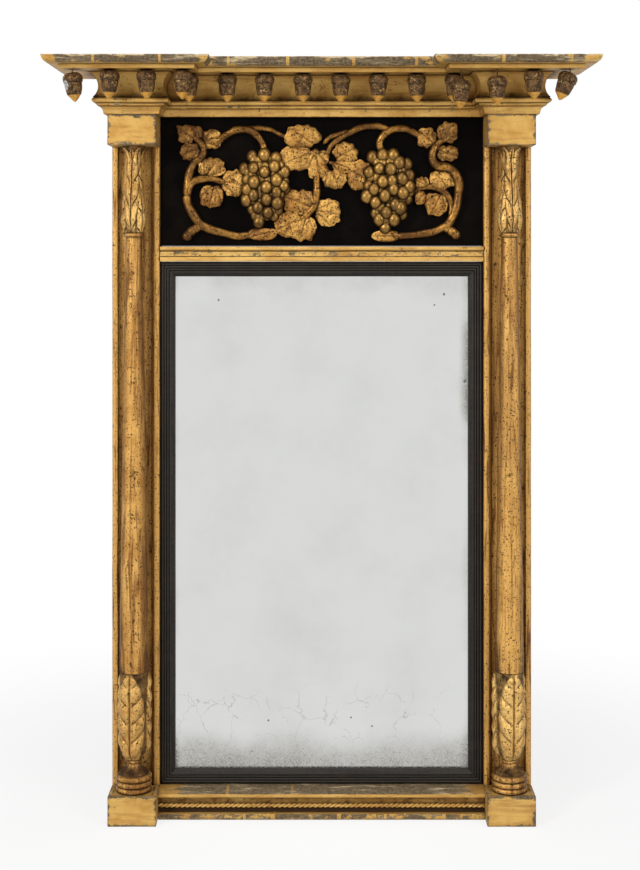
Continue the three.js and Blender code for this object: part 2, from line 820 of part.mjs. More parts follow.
// The left scroll: a thick stem that curls into a leaf, a second one that climbs to the corner leaves,
// and an arch from them over to the grapes and the centre.
const leftVine = {
  stems: [
    { radii: [5, 6], path: [[-88, -75], [-119, -77], [-145, -71], [-167, -61], [-182, -42], [-189, -19]] },
    { radii: [6, 4.5], path: [[-189, -19], [-184, -6], [-172, 2], [-157, 3], [-140, -1], [-122, -8]] },
    { radii: [5, 6.5], path: [[-164, -62], [-178, -67], [-191, -80]] },
    { radii: [6.5, 5], path: [[-188, -13], [-186, 8], [-178, 26], [-168, 34], [-166, 48], [-184, 66]] },
    { radii: [4.5, 5.5], path: [[-150, 52], [-134, 64], [-114, 72], [-97, 70], [-86, 58], [-81, 42]] },
    { radii: [4, 3.5], path: [[-103, 72], [-86, 74], [-70, 71], [-56, 64]] },
    { radii: [3.5, 3], path: [[-150, 1], [-153, -14]] },
  ],
  lobes: [
    [-188, 66, 14, 12, 45],
    [-172, 68, 5, 8],
    [-156, 58, 15, 14],
    [-184, 41, 15, 12],
    [-154, 18, 18, 15, -10],
    [-124, -3, 17, 16],
    [-154, -21, 17, 16],
    [-82, -74, 18, 10.5, 15],
  ],
};

// The leaves round the middle, on the short stem that drops between them.
const centreVine = {
  stems: [
    { radii: [4.5, 5.5], path: [[-4, 22], [-7, 2], [-7, -16], [-11, -34], [-28, -56]] },
    { radii: [4, 3], path: [[-8, 26], [12, 25], [30, 20], [48, 12], [62, 5]] },
    { radii: [4, 3], path: [[-15, -40], [4, -42]] },
  ],
  lobes: [
    [-26, 62, 24, 15, -12],
    [-33, 32, 20, 17, 20],
    [-6, 25, 16, 19],
    [33, 38, 17, 15, 20],
    [51, 8, 15, 18, -25],
    [19, 5, 17, 16, -10],
    [-30, -30, 21, 17],
    [-45, -61, 19, 18],
    [-27, -65, 17, 17],
    [8, -44, 17, 18],
  ],
};

// The right scroll: a branch from the middle, an arch over to the grapes and a doubled stem down the side.
const rightVine = {
  stems: [
    { radii: [3.5, 4.5], path: [[15, 50], [27, 61], [45, 71], [64, 77], [83, 76], [98, 71]] },
    { radii: [5.5, 4.5], path: [[83, 46], [82, 57], [92, 69], [108, 73], [124, 71], [140, 62]] },
    { radii: [4.5, 6], path: [[176, 60], [160, 49], [155, 36], [160, 22], [175, 20], [190, 6], [192, -16]] },
    { radii: [6, 5], path: [[192, -16], [187, -38], [176, -61], [154, -72], [128, -76], [98, -77]] },
    { radii: [4.5, 4], path: [[181, -48], [182, -36], [175, -20], [160, -9], [145, -9], [130, -17]] },
    { radii: [5, 6.5], path: [[172, -64], [184, -71], [192, -78]] },
    { radii: [3.5, 3.5], path: [[148, 59], [161, 49]] },
    { radii: [3.5, 3], path: [[166, -10], [161, -26]] },
  ],
  lobes: [
    [147, 61, 14, 13],
    [176, 66, 14, 15, 20],
    [176, 39, 16, 11],
    [140, -4, 9, 9],
    [168, 1, 17, 13],
    [160, -32, 15, 15],
    [138, -23, 8, 10],
    [92, -77, 17, 9],
  ],
};

function vineSolid({ stems, lobes }, grow = 0) {
  return joined([
    ...stems.map((one) => stem(one, grow)),
    ...lobes.map((one) => leafLobe(one, grow)),
  ]);
}

// A bunch of grapes: rows of berries from the top down, each row as long as its count. Every berry
// stands on a peg, and the pegs stand on a thin backing of the bunch's outline.
function grapes({ centre: [centreX, centreY], rows }) {
  const berryRadius = 7.2;
  const pegRadius = 5.4;
  const pitch = 14.6;
  const rowPitch = 12.6;
  const crown = 10; // how much higher the middle of the bunch stands than its edge
  const backing = 5;
  const berrySides = 6;
  const halfRow = (Math.max(...rows) * pitch) / 2;
  const rowY = (row) => centreY - (row - (rows.length - 1) / 2) * rowPitch;
  const ring = (x, y, radius, height) =>
    arc([x, y], radius, radius, 0, 360 - 360 / berrySides, berrySides - 1)
      .map(([ringX, ringY]) => [ringX, ringY, height]);

  const berries = rows.flatMap((count, row) => Array.from({ length: count }, (_, i) => {
    const across = (i - (count - 1) / 2) * pitch;
    const x = centreX + across;
    const height = berryRadius + crown * Math.sqrt(1 - Math.min(1, Math.abs(across) / halfRow) ** 2);
    return ringSkin([
      ring(x, rowY(row), pegRadius, backing / 2),
      ring(x, rowY(row), berryRadius, height),
      ring(x, rowY(row), berryRadius * 0.6, height + berryRadius * 0.8),
    ]);
  }));
  const edge = (way) => rows.map((count, row) => {
    const reach = ((count - 1) / 2) * pitch + pegRadius;
    return new THREE.Vector2(centreX + way * reach, rowY(row));
  });
  const plan = new THREE.Shape([...edge(-1), ...edge(1).reverse()]);
  const plate = new THREE.ExtrudeGeometry(plan, { depth: backing, bevelEnabled: false })
    .translate(0, 0, seat);
  return joined([plate, ...berries]);
}

function addFrieze() {
  const [drawnWidth, drawnHeight] = drawnPanel;
  const onPanel = (geometry) => geometry
    .scale(openingWidth / drawnWidth, friezeHeight / drawnHeight, 1)
    .rotateX(Math.PI / 2)
    .translate(0, -panelFaceDepth, friezeCentre);
  const leftBunch = grapes({ centre: [-80, -11], rows: [3, 4, 4, 4, 3, 2, 2, 1] });
  const rightBunch = grapes({ centre: [93, -12], rows: [3, 4, 4, 4, 4, 3, 2, 1] });
  const leftTool = vineSolid(leftVine, seat);
  const centreTool = vineSolid(centreVine, seat);
  const rightTool = vineSolid(rightVine, seat);
  addPart('grapes_left', onPanel(cut(leftBunch, [leftTool, centreTool])), bronzedGilt);
  addPart('grapes_right', onPanel(cut(rightBunch, [rightTool, centreTool])), bronzedGilt);
  addPart('vine_left', onPanel(cut(vineSolid(leftVine), [centreTool])), bronzedGilt);
  addPart('vine_right', onPanel(cut(vineSolid(rightVine), [centreTool])), bronzedGilt);
  addPart('vine_centre', onPanel(vineSolid(centreVine)), gilt);
}

// ---------------------------------------------------------------- hanging hardware

const knuckleRadius = ringWireRadius + hingeClearance + knuckleWall;
const barY = seat + knuckleRadius;

function hangerStrap() {
  const plate = boxBetween([-strapWidth / 2, seat, 0], [strapWidth / 2, seat + strapThickness, strapLength]);
  const knuckle = rod(knuckleRadius, knuckleLength, 'x', [0, barY, 0], 16);
  const bore = rod(ringWireRadius + hingeClearance, 2 * strapWidth, 'x', [0, barY, 0], 16);
  const screwHole = rod(screwRadius + seat, 4 * knuckleRadius, 'y', [0, 0, screwFromBar], 12);
  return cut(joined([plate, knuckle]), [bore, screwHole]);
}

// A flat-topped ring: a straight bar through the knuckle, two arms and a half circle, round in section.
function hangerRing() {
  const half = ringWidth / 2;
  const path = new THREE.CurvePath();
  const corner = (x, z) => new THREE.Vector3(x, barY, z);
  path.add(new THREE.LineCurve3(corner(-half, 0), corner(-half, -ringArm)));
  const halfCircle = arc([0, -ringArm], half, half, 180, 360, 8).map(([x, z]) => corner(x, z));
  path.add(new THREE.CatmullRomCurve3(halfCircle));
  path.add(new THREE.LineCurve3(corner(half, -ringArm), corner(half, 0)));
  const loop = sweep(ringWireRadius, path, 16);
  const bar = rod(ringWireRadius, ringWidth + 2 * ringWireRadius, 'x', [0, barY, 0], 12);
  return joined([loop, bar]);
}

function hangerScrew() {
  const profile = [
    [0, -screwLength],
    [screwRadius, -screwLength + 3],
    [screwRadius, 0],
    [screwHeadRadius, 0],
    [screwHeadRadius * 0.85, screwHeadHeight * 0.7],
    [0, screwHeadHeight],
  ];
  return turned(profile, 12).rotateX(-Math.PI / 2);
}

function addHangers() {
  const headSeat = seat + strapThickness + seat;
  for (const [word, side] of sides) {
    const foot = [side * columnX, 0, hangerHeight];
    addPart(`hanger_strap_${word}`, hangerStrap(), brass, foot);
    addPart(`hanger_ring_${word}`, hangerRing(), brass, foot);
    addPart(`hanger_screw_${word}`, hangerScrew(), steel, [side * columnX, headSeat, screwAxisZ()]);
  }
}

// ---------------------------------------------------------------- assembly

addCarcase();
addBlocks();
addColumns();
addSlip();
addPlate();
addCornice();
addAcorns();
addFrieze();
addHangers();

export default mirrorGroup;
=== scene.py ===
# %% [markdown]
# # A gilt pier mirror
# A pier mirror hung on the narrow wall between two windows. This one has a gilded pine case, two slender
# columns, a breakfront cornice hung with acorns, a black frieze with a carved vine, and old silvered glass.
# The solids of the case are loaded first and never moved. Every finely shaped piece made below stands in
# the place of one of them, so the dressed mirror keeps the size and the joints of the plain one.

# %% Load the frame
import math

import bmesh
import bpy
import numpy as np
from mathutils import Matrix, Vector, noise as mnoise


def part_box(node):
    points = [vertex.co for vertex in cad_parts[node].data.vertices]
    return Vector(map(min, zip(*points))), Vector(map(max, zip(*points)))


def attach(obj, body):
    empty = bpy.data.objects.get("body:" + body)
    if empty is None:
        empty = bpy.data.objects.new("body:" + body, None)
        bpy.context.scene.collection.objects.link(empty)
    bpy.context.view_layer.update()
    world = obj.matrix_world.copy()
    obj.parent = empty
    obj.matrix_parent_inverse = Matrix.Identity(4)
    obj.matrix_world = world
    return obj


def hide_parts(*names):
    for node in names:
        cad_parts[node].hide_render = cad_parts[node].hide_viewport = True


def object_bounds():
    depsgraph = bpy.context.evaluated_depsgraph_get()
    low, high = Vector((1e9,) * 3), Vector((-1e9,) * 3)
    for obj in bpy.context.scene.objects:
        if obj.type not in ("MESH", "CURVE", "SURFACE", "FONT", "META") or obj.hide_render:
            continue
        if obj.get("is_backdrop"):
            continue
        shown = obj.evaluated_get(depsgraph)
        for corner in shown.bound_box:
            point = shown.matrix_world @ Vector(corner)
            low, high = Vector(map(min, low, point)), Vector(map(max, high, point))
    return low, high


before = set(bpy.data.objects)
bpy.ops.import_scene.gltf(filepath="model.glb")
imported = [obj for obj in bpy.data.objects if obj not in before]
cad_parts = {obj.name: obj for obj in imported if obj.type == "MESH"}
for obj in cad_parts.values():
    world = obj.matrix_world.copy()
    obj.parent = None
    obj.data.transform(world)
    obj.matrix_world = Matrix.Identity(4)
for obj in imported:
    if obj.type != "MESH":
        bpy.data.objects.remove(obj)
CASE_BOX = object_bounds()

mnoise.seed_set(19)  # without a seed the wander of every carved surface would differ from run to run
BODY = "mirror_frame"
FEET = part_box("plinth_left")[0].z
print("nodes", len(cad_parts), "feet at", round(FEET, 4))

# %% [markdown]
# ## Working in the maker's measures
# A frame maker measures in millimetres from the bench the mirror stands on and from its back. All the sizes
# below are such millimetres: x to the viewer's right, y negative towards the viewer, z up from the feet.
# `metres` turns them into the frame of the loaded solids.

# %% Millimetres from the feet
def metres(points):
    placed = np.asarray(points, float) / 1000
    placed[..., 2] += FEET
    return placed


def mm(node):
    low, high = (np.array(corner) * 1000 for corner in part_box(node))
    low[2] -= FEET * 1000
    high[2] -= FEET * 1000
    return low, high


STILE_LOW, STILE_HIGH = mm("stile_right")
OPENING = STILE_LOW[0]
WIDTH = STILE_HIGH[0]
CARCASE = -STILE_LOW[1]
BLOCK = -mm("plinth_right")[0][1]
PLINTH_TOP = mm("plinth_right")[1][2]
CAPITAL_FOOT = mm("capital_block_right")[0][2]
CORNICE_FOOT = mm("cornice_centre")[0][2]
CORNICE_TOP = mm("cornice_centre")[1][2]
COLUMN_X = (OPENING + WIDTH) / 2
COLUMN_Y = sum(mm("column_shaft_right")[i][1] for i in (0, 1)) / 2
print("opening", round(OPENING, 1), "width", round(WIDTH, 1), "column at", round(COLUMN_X, 2),
      round(COLUMN_Y, 2))

# %% [markdown]
# ## Camera
# The picture was taken square on, a little above two metres from the mirror, with the lens level with the
# frieze's lower edge. The lens is shifted down instead of tilted, which keeps the sides upright.

# %% Camera
PICTURE_HIGH = 870
CAMERA_AWAY, CAMERA_UP = 2150, 793.9


def placed(name, data):
    """A new object of the scene, made of `data`."""
    thing = bpy.data.objects.new(name, data)
    bpy.context.scene.collection.objects.link(thing)
    return thing


camera_data = bpy.data.cameras.new("camera")
camera_data.lens = 63.65
camera_data.shift_x, camera_data.shift_y = -1.7 / PICTURE_HIGH, -189 / PICTURE_HIGH
camera = placed("camera", camera_data)
camera.location = metres([0, -(CARCASE + CAMERA_AWAY), CAMERA_UP])
camera.rotation_euler = (math.pi / 2, 0, 0)
bpy.context.scene.camera = camera
bpy.context.scene.view_settings.view_transform = "Standard"
print("shift", round(camera_data.shift_y, 4))

# %% [markdown]
# ## A notebook for finishes
# Every finish is a small tree of shader nodes. `Finish` keeps that tree and offers the few moves a finisher
# makes over and over: cloudy variation, specks, blending one coat over another and reading how sharply an
# edge turns. Sizes of patterns are given in millimetres, because that is how they are judged. What a
# node works out is wrapped in a `Level`, so that levels can be added, taken off and multiplied like numbers.

# %% Finish helper
def tone(red, green, blue):
    """A colour as it looks on the screen, from 0 to 255, as the linear values that shaders use."""
    def linear(level):
        level /= 255
        return level / 12.92 if level <= 0.04045 else ((level + 0.055) / 1.055) ** 2.4
    return (linear(red), linear(green), linear(blue), 1.0)


class Level:
    """A number that shader nodes work out for every place of a surface."""

    def __init__(self, finish, socket):
        self.finish, self.socket = finish, socket

    def __add__(self, other):
        return self.finish.calc("ADD", self, other)

    def __radd__(self, other):
        return self.finish.calc("ADD", other, self)

    def __sub__(self, other):
        return self.finish.calc("SUBTRACT", self, other)

    def __rsub__(self, other):
        return self.finish.calc("SUBTRACT", other, self)

    def __mul__(self, other):
        return self.finish.calc("MULTIPLY", self, other)

    def __rmul__(self, other):
        return self.finish.calc("MULTIPLY", other, self)


class Finish:
    def __init__(self, name):
        self.material = bpy.data.materials.new(name)
        self.material.use_nodes = True
        self.tree = self.material.node_tree
        self.tree.nodes.clear()
        self.surface = self.add("ShaderNodeBsdfPrincipled")
        out = self.add("ShaderNodeOutputMaterial")
        self.tree.links.new(self.surface.outputs[0], out.inputs["Surface"])
        self.place = self.add("ShaderNodeTexCoord").outputs["Object"]

    def feed(self, socket, value):
        value = getattr(value, "socket", value)
        if isinstance(value, bpy.types.NodeSocket):
            self.tree.links.new(value, socket)
        else:
            socket.default_value = value

    def add(self, kind, sockets=(), **settings):
        node = self.tree.nodes.new(kind)
        for key, value in settings.items():
            setattr(node, key, value)
        for key, value in dict(sockets).items():
            self.feed(node.inputs[key], value)
        return node

    def set(self, **sockets):
        for key, value in sockets.items():
            self.feed(self.surface.inputs[key.replace("_", " ")], value)

    def stretched(self, stretch, offset=(0, 0, 0)):
        node = self.add("ShaderNodeMapping", {"Vector": self.place, "Scale": stretch, "Location": offset})
        return node.outputs[0]

    def clouds(self, size, detail=4, rough=0.55, stretch=None, offset=(0, 0, 0), warp=0.0):
        where = self.stretched(stretch or (1, 1, 1), offset)
        node = self.add("ShaderNodeTexNoise", {
            "Vector": where, "Scale": 1000 / size, "Detail": detail, "Roughness": rough, "Distortion": warp})
        return Level(self, node.outputs["Fac"])

    def calc(self, operation, first, second=0.0, clamp=False):
        node = self.add("ShaderNodeMath", {0: first, 1: second}, operation=operation, use_clamp=clamp)
        return Level(self, node.outputs[0])

    def most(self, first, second):
        return self.calc("MAXIMUM", first, second)

    def step(self, value, low, high, to_low=0.0, to_high=1.0):
        node = self.add("ShaderNodeMapRange", {
            "Value": value, "From Min": low, "From Max": high, "To Min": to_low, "To Max": to_high})
        node.interpolation_type = "SMOOTHSTEP"
        return Level(self, node.outputs[0])

    def coat(self, share, below, above):
        """One coat over another by `share`. Three numbers stand for a colour as it looks on the screen."""
        below, above = (tone(*c) if isinstance(c, tuple) and len(c) == 3 else c for c in (below, above))
        return self.add("ShaderNodeMix", {0: share, 6: below, 7: above}, data_type="RGBA").outputs[2]

    def read(self, name):
        return Level(self, self.add("ShaderNodeAttribute", attribute_name=name).outputs["Fac"])

    def crevice(self, reach):
        """1 deep between neighbouring surfaces that are less than `reach` mm apart, 0 in the open."""
        node = self.add("ShaderNodeAmbientOcclusion", {"Distance": reach / 1000}, samples=4)
        return self.calc("SUBTRACT", 1.0, node.outputs["AO"])

    def turned_away(self, start, end):
        """0 where the surface faces the room, 1 where it faces sideways, up or down."""
        normal = self.add("ShaderNodeTexCoord").outputs["Normal"]
        front = self.calc("MULTIPLY", self.add("ShaderNodeSeparateXYZ", {0: normal}).outputs["Y"], -1.0)
        return self.step(front, end, start, 1.0, 0.0)

    def axis(self, name):
        return Level(self, self.add("ShaderNodeSeparateXYZ", {0: self.place}).outputs[name])

    def relief(self, height, depth, strength=1.0):
        node = self.add("ShaderNodeBump", {"Height": height, "Distance": depth / 1000, "Strength": strength})
        self.set(Normal=node.outputs[0])

    def done(self, colour, roughness, height, depth, **others):
        self.set(Base_Color=colour, Roughness=roughness, **others)
        self.relief(height, depth)
        return self.material


print("finish helper ready")

# %% [markdown]
# ## Old water gilding
# Gold leaf 85 mm square was laid over red clay on white gesso. Two centuries of dusting leave it mottled:
# deeper gold in clouds, red clay on the parts that stick out, dark size and grime in pits, grime and painted
# shade in hollows, and grey where the gold is gone. Some pieces carry marks of their own, written on the
# mesh: `grey` and `chalk` are bare, `lap` keeps its gold, `red` shows clay, `dark` adds grime and painted shade,
# and `fresh_and_highlight` is bright, as fresh gold and as a painted highlight. `edge` and `hollow` say how
# sharply the surface turns out or in, and `crevice` finds the narrow places, which get grime and painted shade.
# What faces sideways, up or down gets painted shade. The same recipe with other colours gives all the gilded
# pieces.

# %% Gilding recipe
def gilding(name, bright, deep, clay, dirt_and_shade, wear, specks, streaks, patina, sides, grain=(1, 1, 1), gloss=0.36,
            metal=0.35, lines=0.85):
    f = Finish(name)
    broad, middle = f.clouds(48, 3), f.clouds(13, 6, 0.62)
    fine = f.clouds(3.0, 4, 0.6)
    along = f.clouds(5.5, 5, 0.6, stretch=grain, warp=0.6)
    edge, hollow = f.read("edge"), f.read("hollow")

    colour = f.coat(f.step(broad, 0.35, 0.66), bright, deep)
    colour = f.coat(f.step(middle, 0.42, 0.62) * 0.45, colour, bright)
    colour = f.coat(f.step(along, 0.5, 0.66) * streaks, colour, clay)
    film = f.clouds(26, 7, 0.68, stretch=grain, offset=(2, 8, 4), warp=0.8) + f.read("red") * 0.1
    film = f.step(film, 0.60 - 0.13 * patina, 0.70 - 0.10 * patina)
    colour = f.coat(film * (0.75 * patina), colour, clay)

    rubbed = middle * 0.75 + fine * 0.35 + edge * 0.2 + f.read("red") * 0.16
    worn = f.step(rubbed, 0.86 - 0.26 * wear, 0.95 - 0.26 * wear)
    colour = f.coat(worn * 0.85, colour, clay)

    colour = f.coat(f.read("fresh_and_highlight") * f.step(along, 0.68, 0.44), colour, bright)

    spot = f.step(f.clouds(2.3, 2, 0.5, offset=(3, 1, 7)), 0.735 - 0.12 * specks, 0.760 - 0.12 * specks)
    pits = f.step(f.clouds(8, 6, 0.74, offset=(1, 5, 2)), 0.66 - 0.07 * specks, 0.71 - 0.07 * specks)
    marks = f.most(spot, pits * 0.8)
    colour = f.coat(marks * min(1.0, 0.55 + specks), colour, dirt_and_shade)

    # Faces turned sideways, up or down from the front get painted shade in grime and clay colours, as much as
    # `sides` asks.
    side_shade = f.calc("ADD", f.turned_away(0.93, 0.3), (middle - 0.5) * 0.8, clamp=True)
    colour = f.coat(side_shade * sides, colour, f.coat(f.step(fine, 0.35, 0.65), dirt_and_shade, clay))

    # Crevices, hollows and the `dark` mark darken towards the grime colour: grime, and painted shade where
    # surfaces crowd together.
    deep_in = f.crevice(9) + (fine - 0.5) * 0.5
    grime_and_shade = f.step(deep_in, 0.3, 0.78) * 0.92
    cut = f.step(hollow + fine * 0.3, 0.15, 0.75) * lines
    grime_and_shade = f.most(grime_and_shade, cut)
    grime_and_shade = f.most(grime_and_shade, f.step(f.read("dark") + middle * 0.6, 0.55, 1.05))
    colour = f.coat(grime_and_shade, colour, dirt_and_shade)

    grey = f.read("grey")
    torn = f.clouds(9, 7, 0.7, stretch=(0.5, 1, 1), offset=(6, 3, 1)) * 1.4 + fine * 0.5
    bare = f.step(grey + (torn - 0.95), 0.42, 0.54) * f.step(grey, 0.02, 0.12) * (1.0 - f.read("lap"))
    stone = f.coat(f.step(fine, 0.38, 0.62), (84, 70, 52), (122, 106, 82))
    flaky = f.clouds(7, 6, 0.72, stretch=(0.16, 1, 1), offset=(0, 4, 4))
    stone = f.coat(f.step(flaky, 0.5, 0.62) * 0.8, stone, (156, 138, 106))
    colour = f.coat(bare, colour, stone)
    chalk = f.read("chalk") + (flaky - 0.5) * 2.2
    colour = f.coat(f.step(chalk, 0.44, 0.60), colour, (202, 180, 142))

    gold = 1.0 - f.most(f.most(worn, marks), f.most(bare, grime_and_shade))
    rough = gloss + fine * 0.22
    height = middle * 0.6 + fine * 0.35 - f.most(marks, worn) * 0.45
    return f.done(colour, rough + 0.2 - gold * 0.2, height + along * 0.4, 0.75,
                  Metallic=f.calc("MULTIPLY", gold, metal, clamp=True), Specular_IOR_Level=0.12)


BRIGHT = gilding("bright_gilding", (214, 173, 98), (190, 144, 72), (144, 94, 44), (52, 34, 16),
                 wear=0.36, specks=0.40, streaks=0.35, grain=(0.10, 1, 1), patina=0.45, sides=0.24)
BRONZED = gilding("red_gilding", (220, 170, 94), (172, 122, 58), (112, 70, 34), (44, 28, 16),
                  wear=0.52, specks=0.95, streaks=0.85, grain=(1, 1, 0.07), patina=0.95, sides=0.42)
LEAFY = gilding("leaf_gilding", (214, 164, 84), (160, 110, 50), (110, 70, 36), (40, 26, 16),
                wear=0.44, specks=1.15, streaks=0.3, patina=0.8, lines=0.5, sides=0.80)
COLLAR = gilding("collar_gilding", (232, 188, 112), (184, 136, 70), (120, 78, 42), (40, 26, 16),
                 wear=0.40, specks=0.95, streaks=0.3, patina=0.6, lines=0.7, sides=0.28)
STALK = gilding("stalk_gilding", (170, 122, 56), (98, 64, 30), (72, 46, 24), (32, 21, 12),
                wear=0.52, specks=1.05, streaks=0.5, gloss=0.22, patina=0.9, metal=0.5, sides=0.95)
GRAPE = gilding("grape_gilding", (164, 124, 62), (94, 68, 34), (62, 42, 24), (22, 15, 9),
                wear=0.40, specks=0.5, streaks=0.3, gloss=0.18, metal=0.55, patina=0.5, sides=1.0)
print("gilding finishes", 6)

# %% [markdown]
# ## Worn bronze for the acorns
# The acorns were painted dark and rubbed over with bronze powder; only their points are gilded. Brown and
# purple-grey show through in patches, with glints of gold and, on some, of silver.

# %% Acorn finish
def acorn_finish():
    f = Finish("worn_bronze")
    middle, fine = f.clouds(7, 6, 0.65), f.clouds(2.2, 4, 0.6)
    blotch = f.clouds(11, 5, 0.6, offset=(4, 2, 9), warp=0.5)
    colour = f.coat(f.step(middle, 0.42, 0.58), (70, 50, 32), (118, 88, 52))
    colour = f.coat(f.step(blotch, 0.5, 0.6) * 0.55, colour, (58, 44, 38))
    glint = blotch * 0.5 + fine * 0.6
    colour = f.coat(f.step(glint, 0.6, 0.66) * 0.9, colour, (176, 140, 84))
    silver = f.read("silver") + fine * 0.5
    colour = f.coat(f.step(silver, 0.9, 1.1), colour, (176, 176, 172))
    spots = f.step(f.clouds(2.0, 3, offset=(5, 5, 1)), 0.56, 0.63)
    colour = f.coat(spots * 0.85, colour, (34, 24, 20))
    # Grooves and narrow crevices get painted shade.
    groove = f.most(f.step(f.read("hollow"), 0.1, 0.7), f.step(f.crevice(5), 0.3, 0.8))
    colour = f.coat(groove * 0.85, colour, (28, 19, 15))
    point = f.read("tip") * f.step(middle + f.read("tip"), 0.9, 1.2)
    gold = f.coat(f.step(fine, 0.4, 0.6), (216, 164, 78), (190, 138, 62))
    colour = f.coat(point, colour, gold)
    return f.done(colour, 0.34 + fine * 0.3,
                  middle + fine * 0.6 - spots, 0.6,
                  Metallic=0.25 + point * 0.25, Specular_IOR_Level=0.15)


ACORN = acorn_finish()
print(ACORN.name)

# %% [markdown]
# ## Black lacquer, ebonised wood, glass, bare wood and metal
# The frieze's ground is glossy black; the reeded slip is wood stained black, browner where it is rubbed.
# The glass is silvered with tin: pale grey, spotted with dark foxing near its edges, and crazed in a net of
# hairlines low down where damp crept in. The back is plain pine, the hangers are brass and steel.

# %% Other finishes
def lacquer():
    f = Finish("black_lacquer")
    haze, dust = f.clouds(60, 4, 0.6), f.clouds(2.0, 3)
    colour = f.coat(f.step(haze, 0.4, 0.7), (8, 6, 5), (16, 12, 9))
    colour = f.coat(f.step(dust, 0.74, 0.78) * 0.4, colour, (46, 36, 26))
    return f.done(colour, 0.22 + haze * 0.2, haze, 0.25, Specular_IOR_Level=0.02)


def ebonised():
    f = Finish("ebonised_wood")
    grain = f.clouds(3.2, 5, 0.6, stretch=(0.05, 1, 1))
    upright = f.clouds(3.2, 5, 0.6, stretch=(1, 1, 0.05))
    both = (grain + upright) * 0.5
    colour = f.coat(f.step(both, 0.42, 0.6), (26, 23, 20), (44, 38, 32))
    colour = f.coat(f.step(f.read("edge"), 0.2, 0.9) * 0.5, colour, (66, 60, 52))
    # Narrow crevices get painted shade.
    colour = f.coat(f.step(f.crevice(3), 0.35, 0.8) * 0.8, colour, (9, 8, 7))
    rubbed = f.step(f.clouds(24, 5, stretch=(0.3, 1, 0.3)) + f.read("edge") * 0.1, 0.68, 0.78)
    colour = f.coat(rubbed * 0.5, colour, (92, 48, 30))
    return f.done(colour, 0.3 + both * 0.25, both, 0.3, Specular_IOR_Level=0.20)


GLASS_LOW, GLASS_HIGH = mm("mirror_plate")
SIGHT = 20.6  # the slip hides this much of the glass on each side
DARK_SPOTS = [(158, 711, 1.9), (-145, 718, 2.4), (41, 131, 1.8), (-98, 84, 1.4), (201, 604, 2.6),
              (172, 726, 2.2),
              (71, 119, 1.5), (-75, 127, 1.6)]  # x, height and radius


def old_glass():
    f = Finish("old_silvered_glass")
    x, z = f.axis("X"), f.axis("Z")
    half = float(OPENING - SIGHT - 0.3) / 1000
    low = FEET + float(GLASS_LOW[2] + SIGHT) / 1000
    high = FEET + float(GLASS_HIGH[2] - SIGHT) / 1000
    from_right, from_left, from_low, from_high = half - x, half + x, z - low, high - z
    wander = f.clouds(90, 4, 0.6)
    spots, grit = f.clouds(1.6, 3, 0.75), f.clouds(4.5, 6, 0.82, offset=(0.2, 0, 0.3))

    def fog(distance, reach, strength):
        near = f.step(distance, 0.0, reach / 1000, 1.0, 0.0)
        return near * strength

    damp = f.step(z, FEET + 0.53, FEET + 0.57) * f.step(z, FEET + 0.66, FEET + 0.7, 1.0, 0.0)
    foxing = fog(from_low, 74, 0.38) + fog(from_right, 14, 0.16)
    foxing = foxing + fog(from_right, 20, 0.34) * damp
    foxing = foxing + (fog(from_high, 40, 0.14) + fog(from_left, 8, 0.13))
    density = foxing + (wander - 0.5) * 0.4
    speck = f.step(spots * 0.7 + grit * 0.3 + density * 0.6, 0.66, 0.84)
    silver = f.coat(f.step(wander, 0.35, 0.65), (217, 218, 216), (214, 215, 213))
    silver = f.coat(f.step(density, 0.0, 0.42) * 0.85, silver, (178, 176, 170))
    colour = f.coat(speck * 0.62, silver, (122, 118, 112))
    for at_x, at_z, size in DARK_SPOTS:
        from_spot = f.add("ShaderNodeVectorMath", operation="DISTANCE")
        f.tree.links.new(f.stretched((1, 0, 1)), from_spot.inputs[0])
        from_spot.inputs[1].default_value = (at_x / 1000, 0, at_z / 1000 + FEET)
        ragged = from_spot.outputs["Value"] + (grit - 0.5) * 0.006
        colour = f.coat(f.step(ragged, 0.4 * size / 1000, size / 1000, 0.75, 0.0), colour, (70, 68, 66))

    bent = f.add("ShaderNodeVectorMath", operation="ADD")
    f.tree.links.new(f.stretched((1, 0, 1)), bent.inputs[0])
    swirl = f.add("ShaderNodeTexNoise", {"Vector": f.place, "Scale": 26, "Detail": 4, "Roughness": 0.6})
    scaled = f.add("ShaderNodeVectorMath", operation="SCALE")
    f.tree.links.new(swirl.outputs["Color"], scaled.inputs[0])
    scaled.inputs["Scale"].default_value = 0.042
    f.tree.links.new(scaled.outputs[0], bent.inputs[1])
    net = f.add("ShaderNodeTexVoronoi", {"Vector": bent.outputs[0], "Scale": 27}, feature="DISTANCE_TO_EDGE")
    hair = f.step(net.outputs["Distance"], 0.0, 0.020, 1.0, 0.0)
    band = f.step(from_low, 0.02, 0.05) * f.step(from_low, 0.09, 0.125, 1.0, 0.0)
    patchy = f.step(f.clouds(30, 3, offset=(7, 0, 1)), 0.44, 0.60)
    crack = hair * (band * patchy)
    colour = f.coat(crack * 0.42, colour, (132, 134, 136))
    return f.done(colour, 0.06 + speck * 0.5, wander, 0.02,
                  Metallic=1.0 - speck * 0.7)


def pine():
    f = Finish("bare_pine")
    rings = f.clouds(6.0, 5, 0.55, stretch=(1, 1, 0.06), warp=0.8)
    across = f.clouds(50, 3)
    colour = f.coat(f.step(rings, 0.38, 0.64), (158, 120, 78), (112, 80, 50))
    colour = f.coat(f.step(across, 0.45, 0.7) * 0.6, colour, (86, 66, 46))
    knots = f.add("ShaderNodeTexVoronoi", {"Vector": f.stretched((1, 1, 0.5)), "Scale": 9})
    colour = f.coat(f.step(knots.outputs["Distance"], 0.04, 0.10, 0.85, 0.0), colour, (70, 42, 26))
    colour = f.coat(f.read("edge") * 0.4, colour, (70, 54, 40))
    return f.done(colour, 0.66 + rings * 0.2, rings, 0.5, Specular_IOR_Level=0.2)


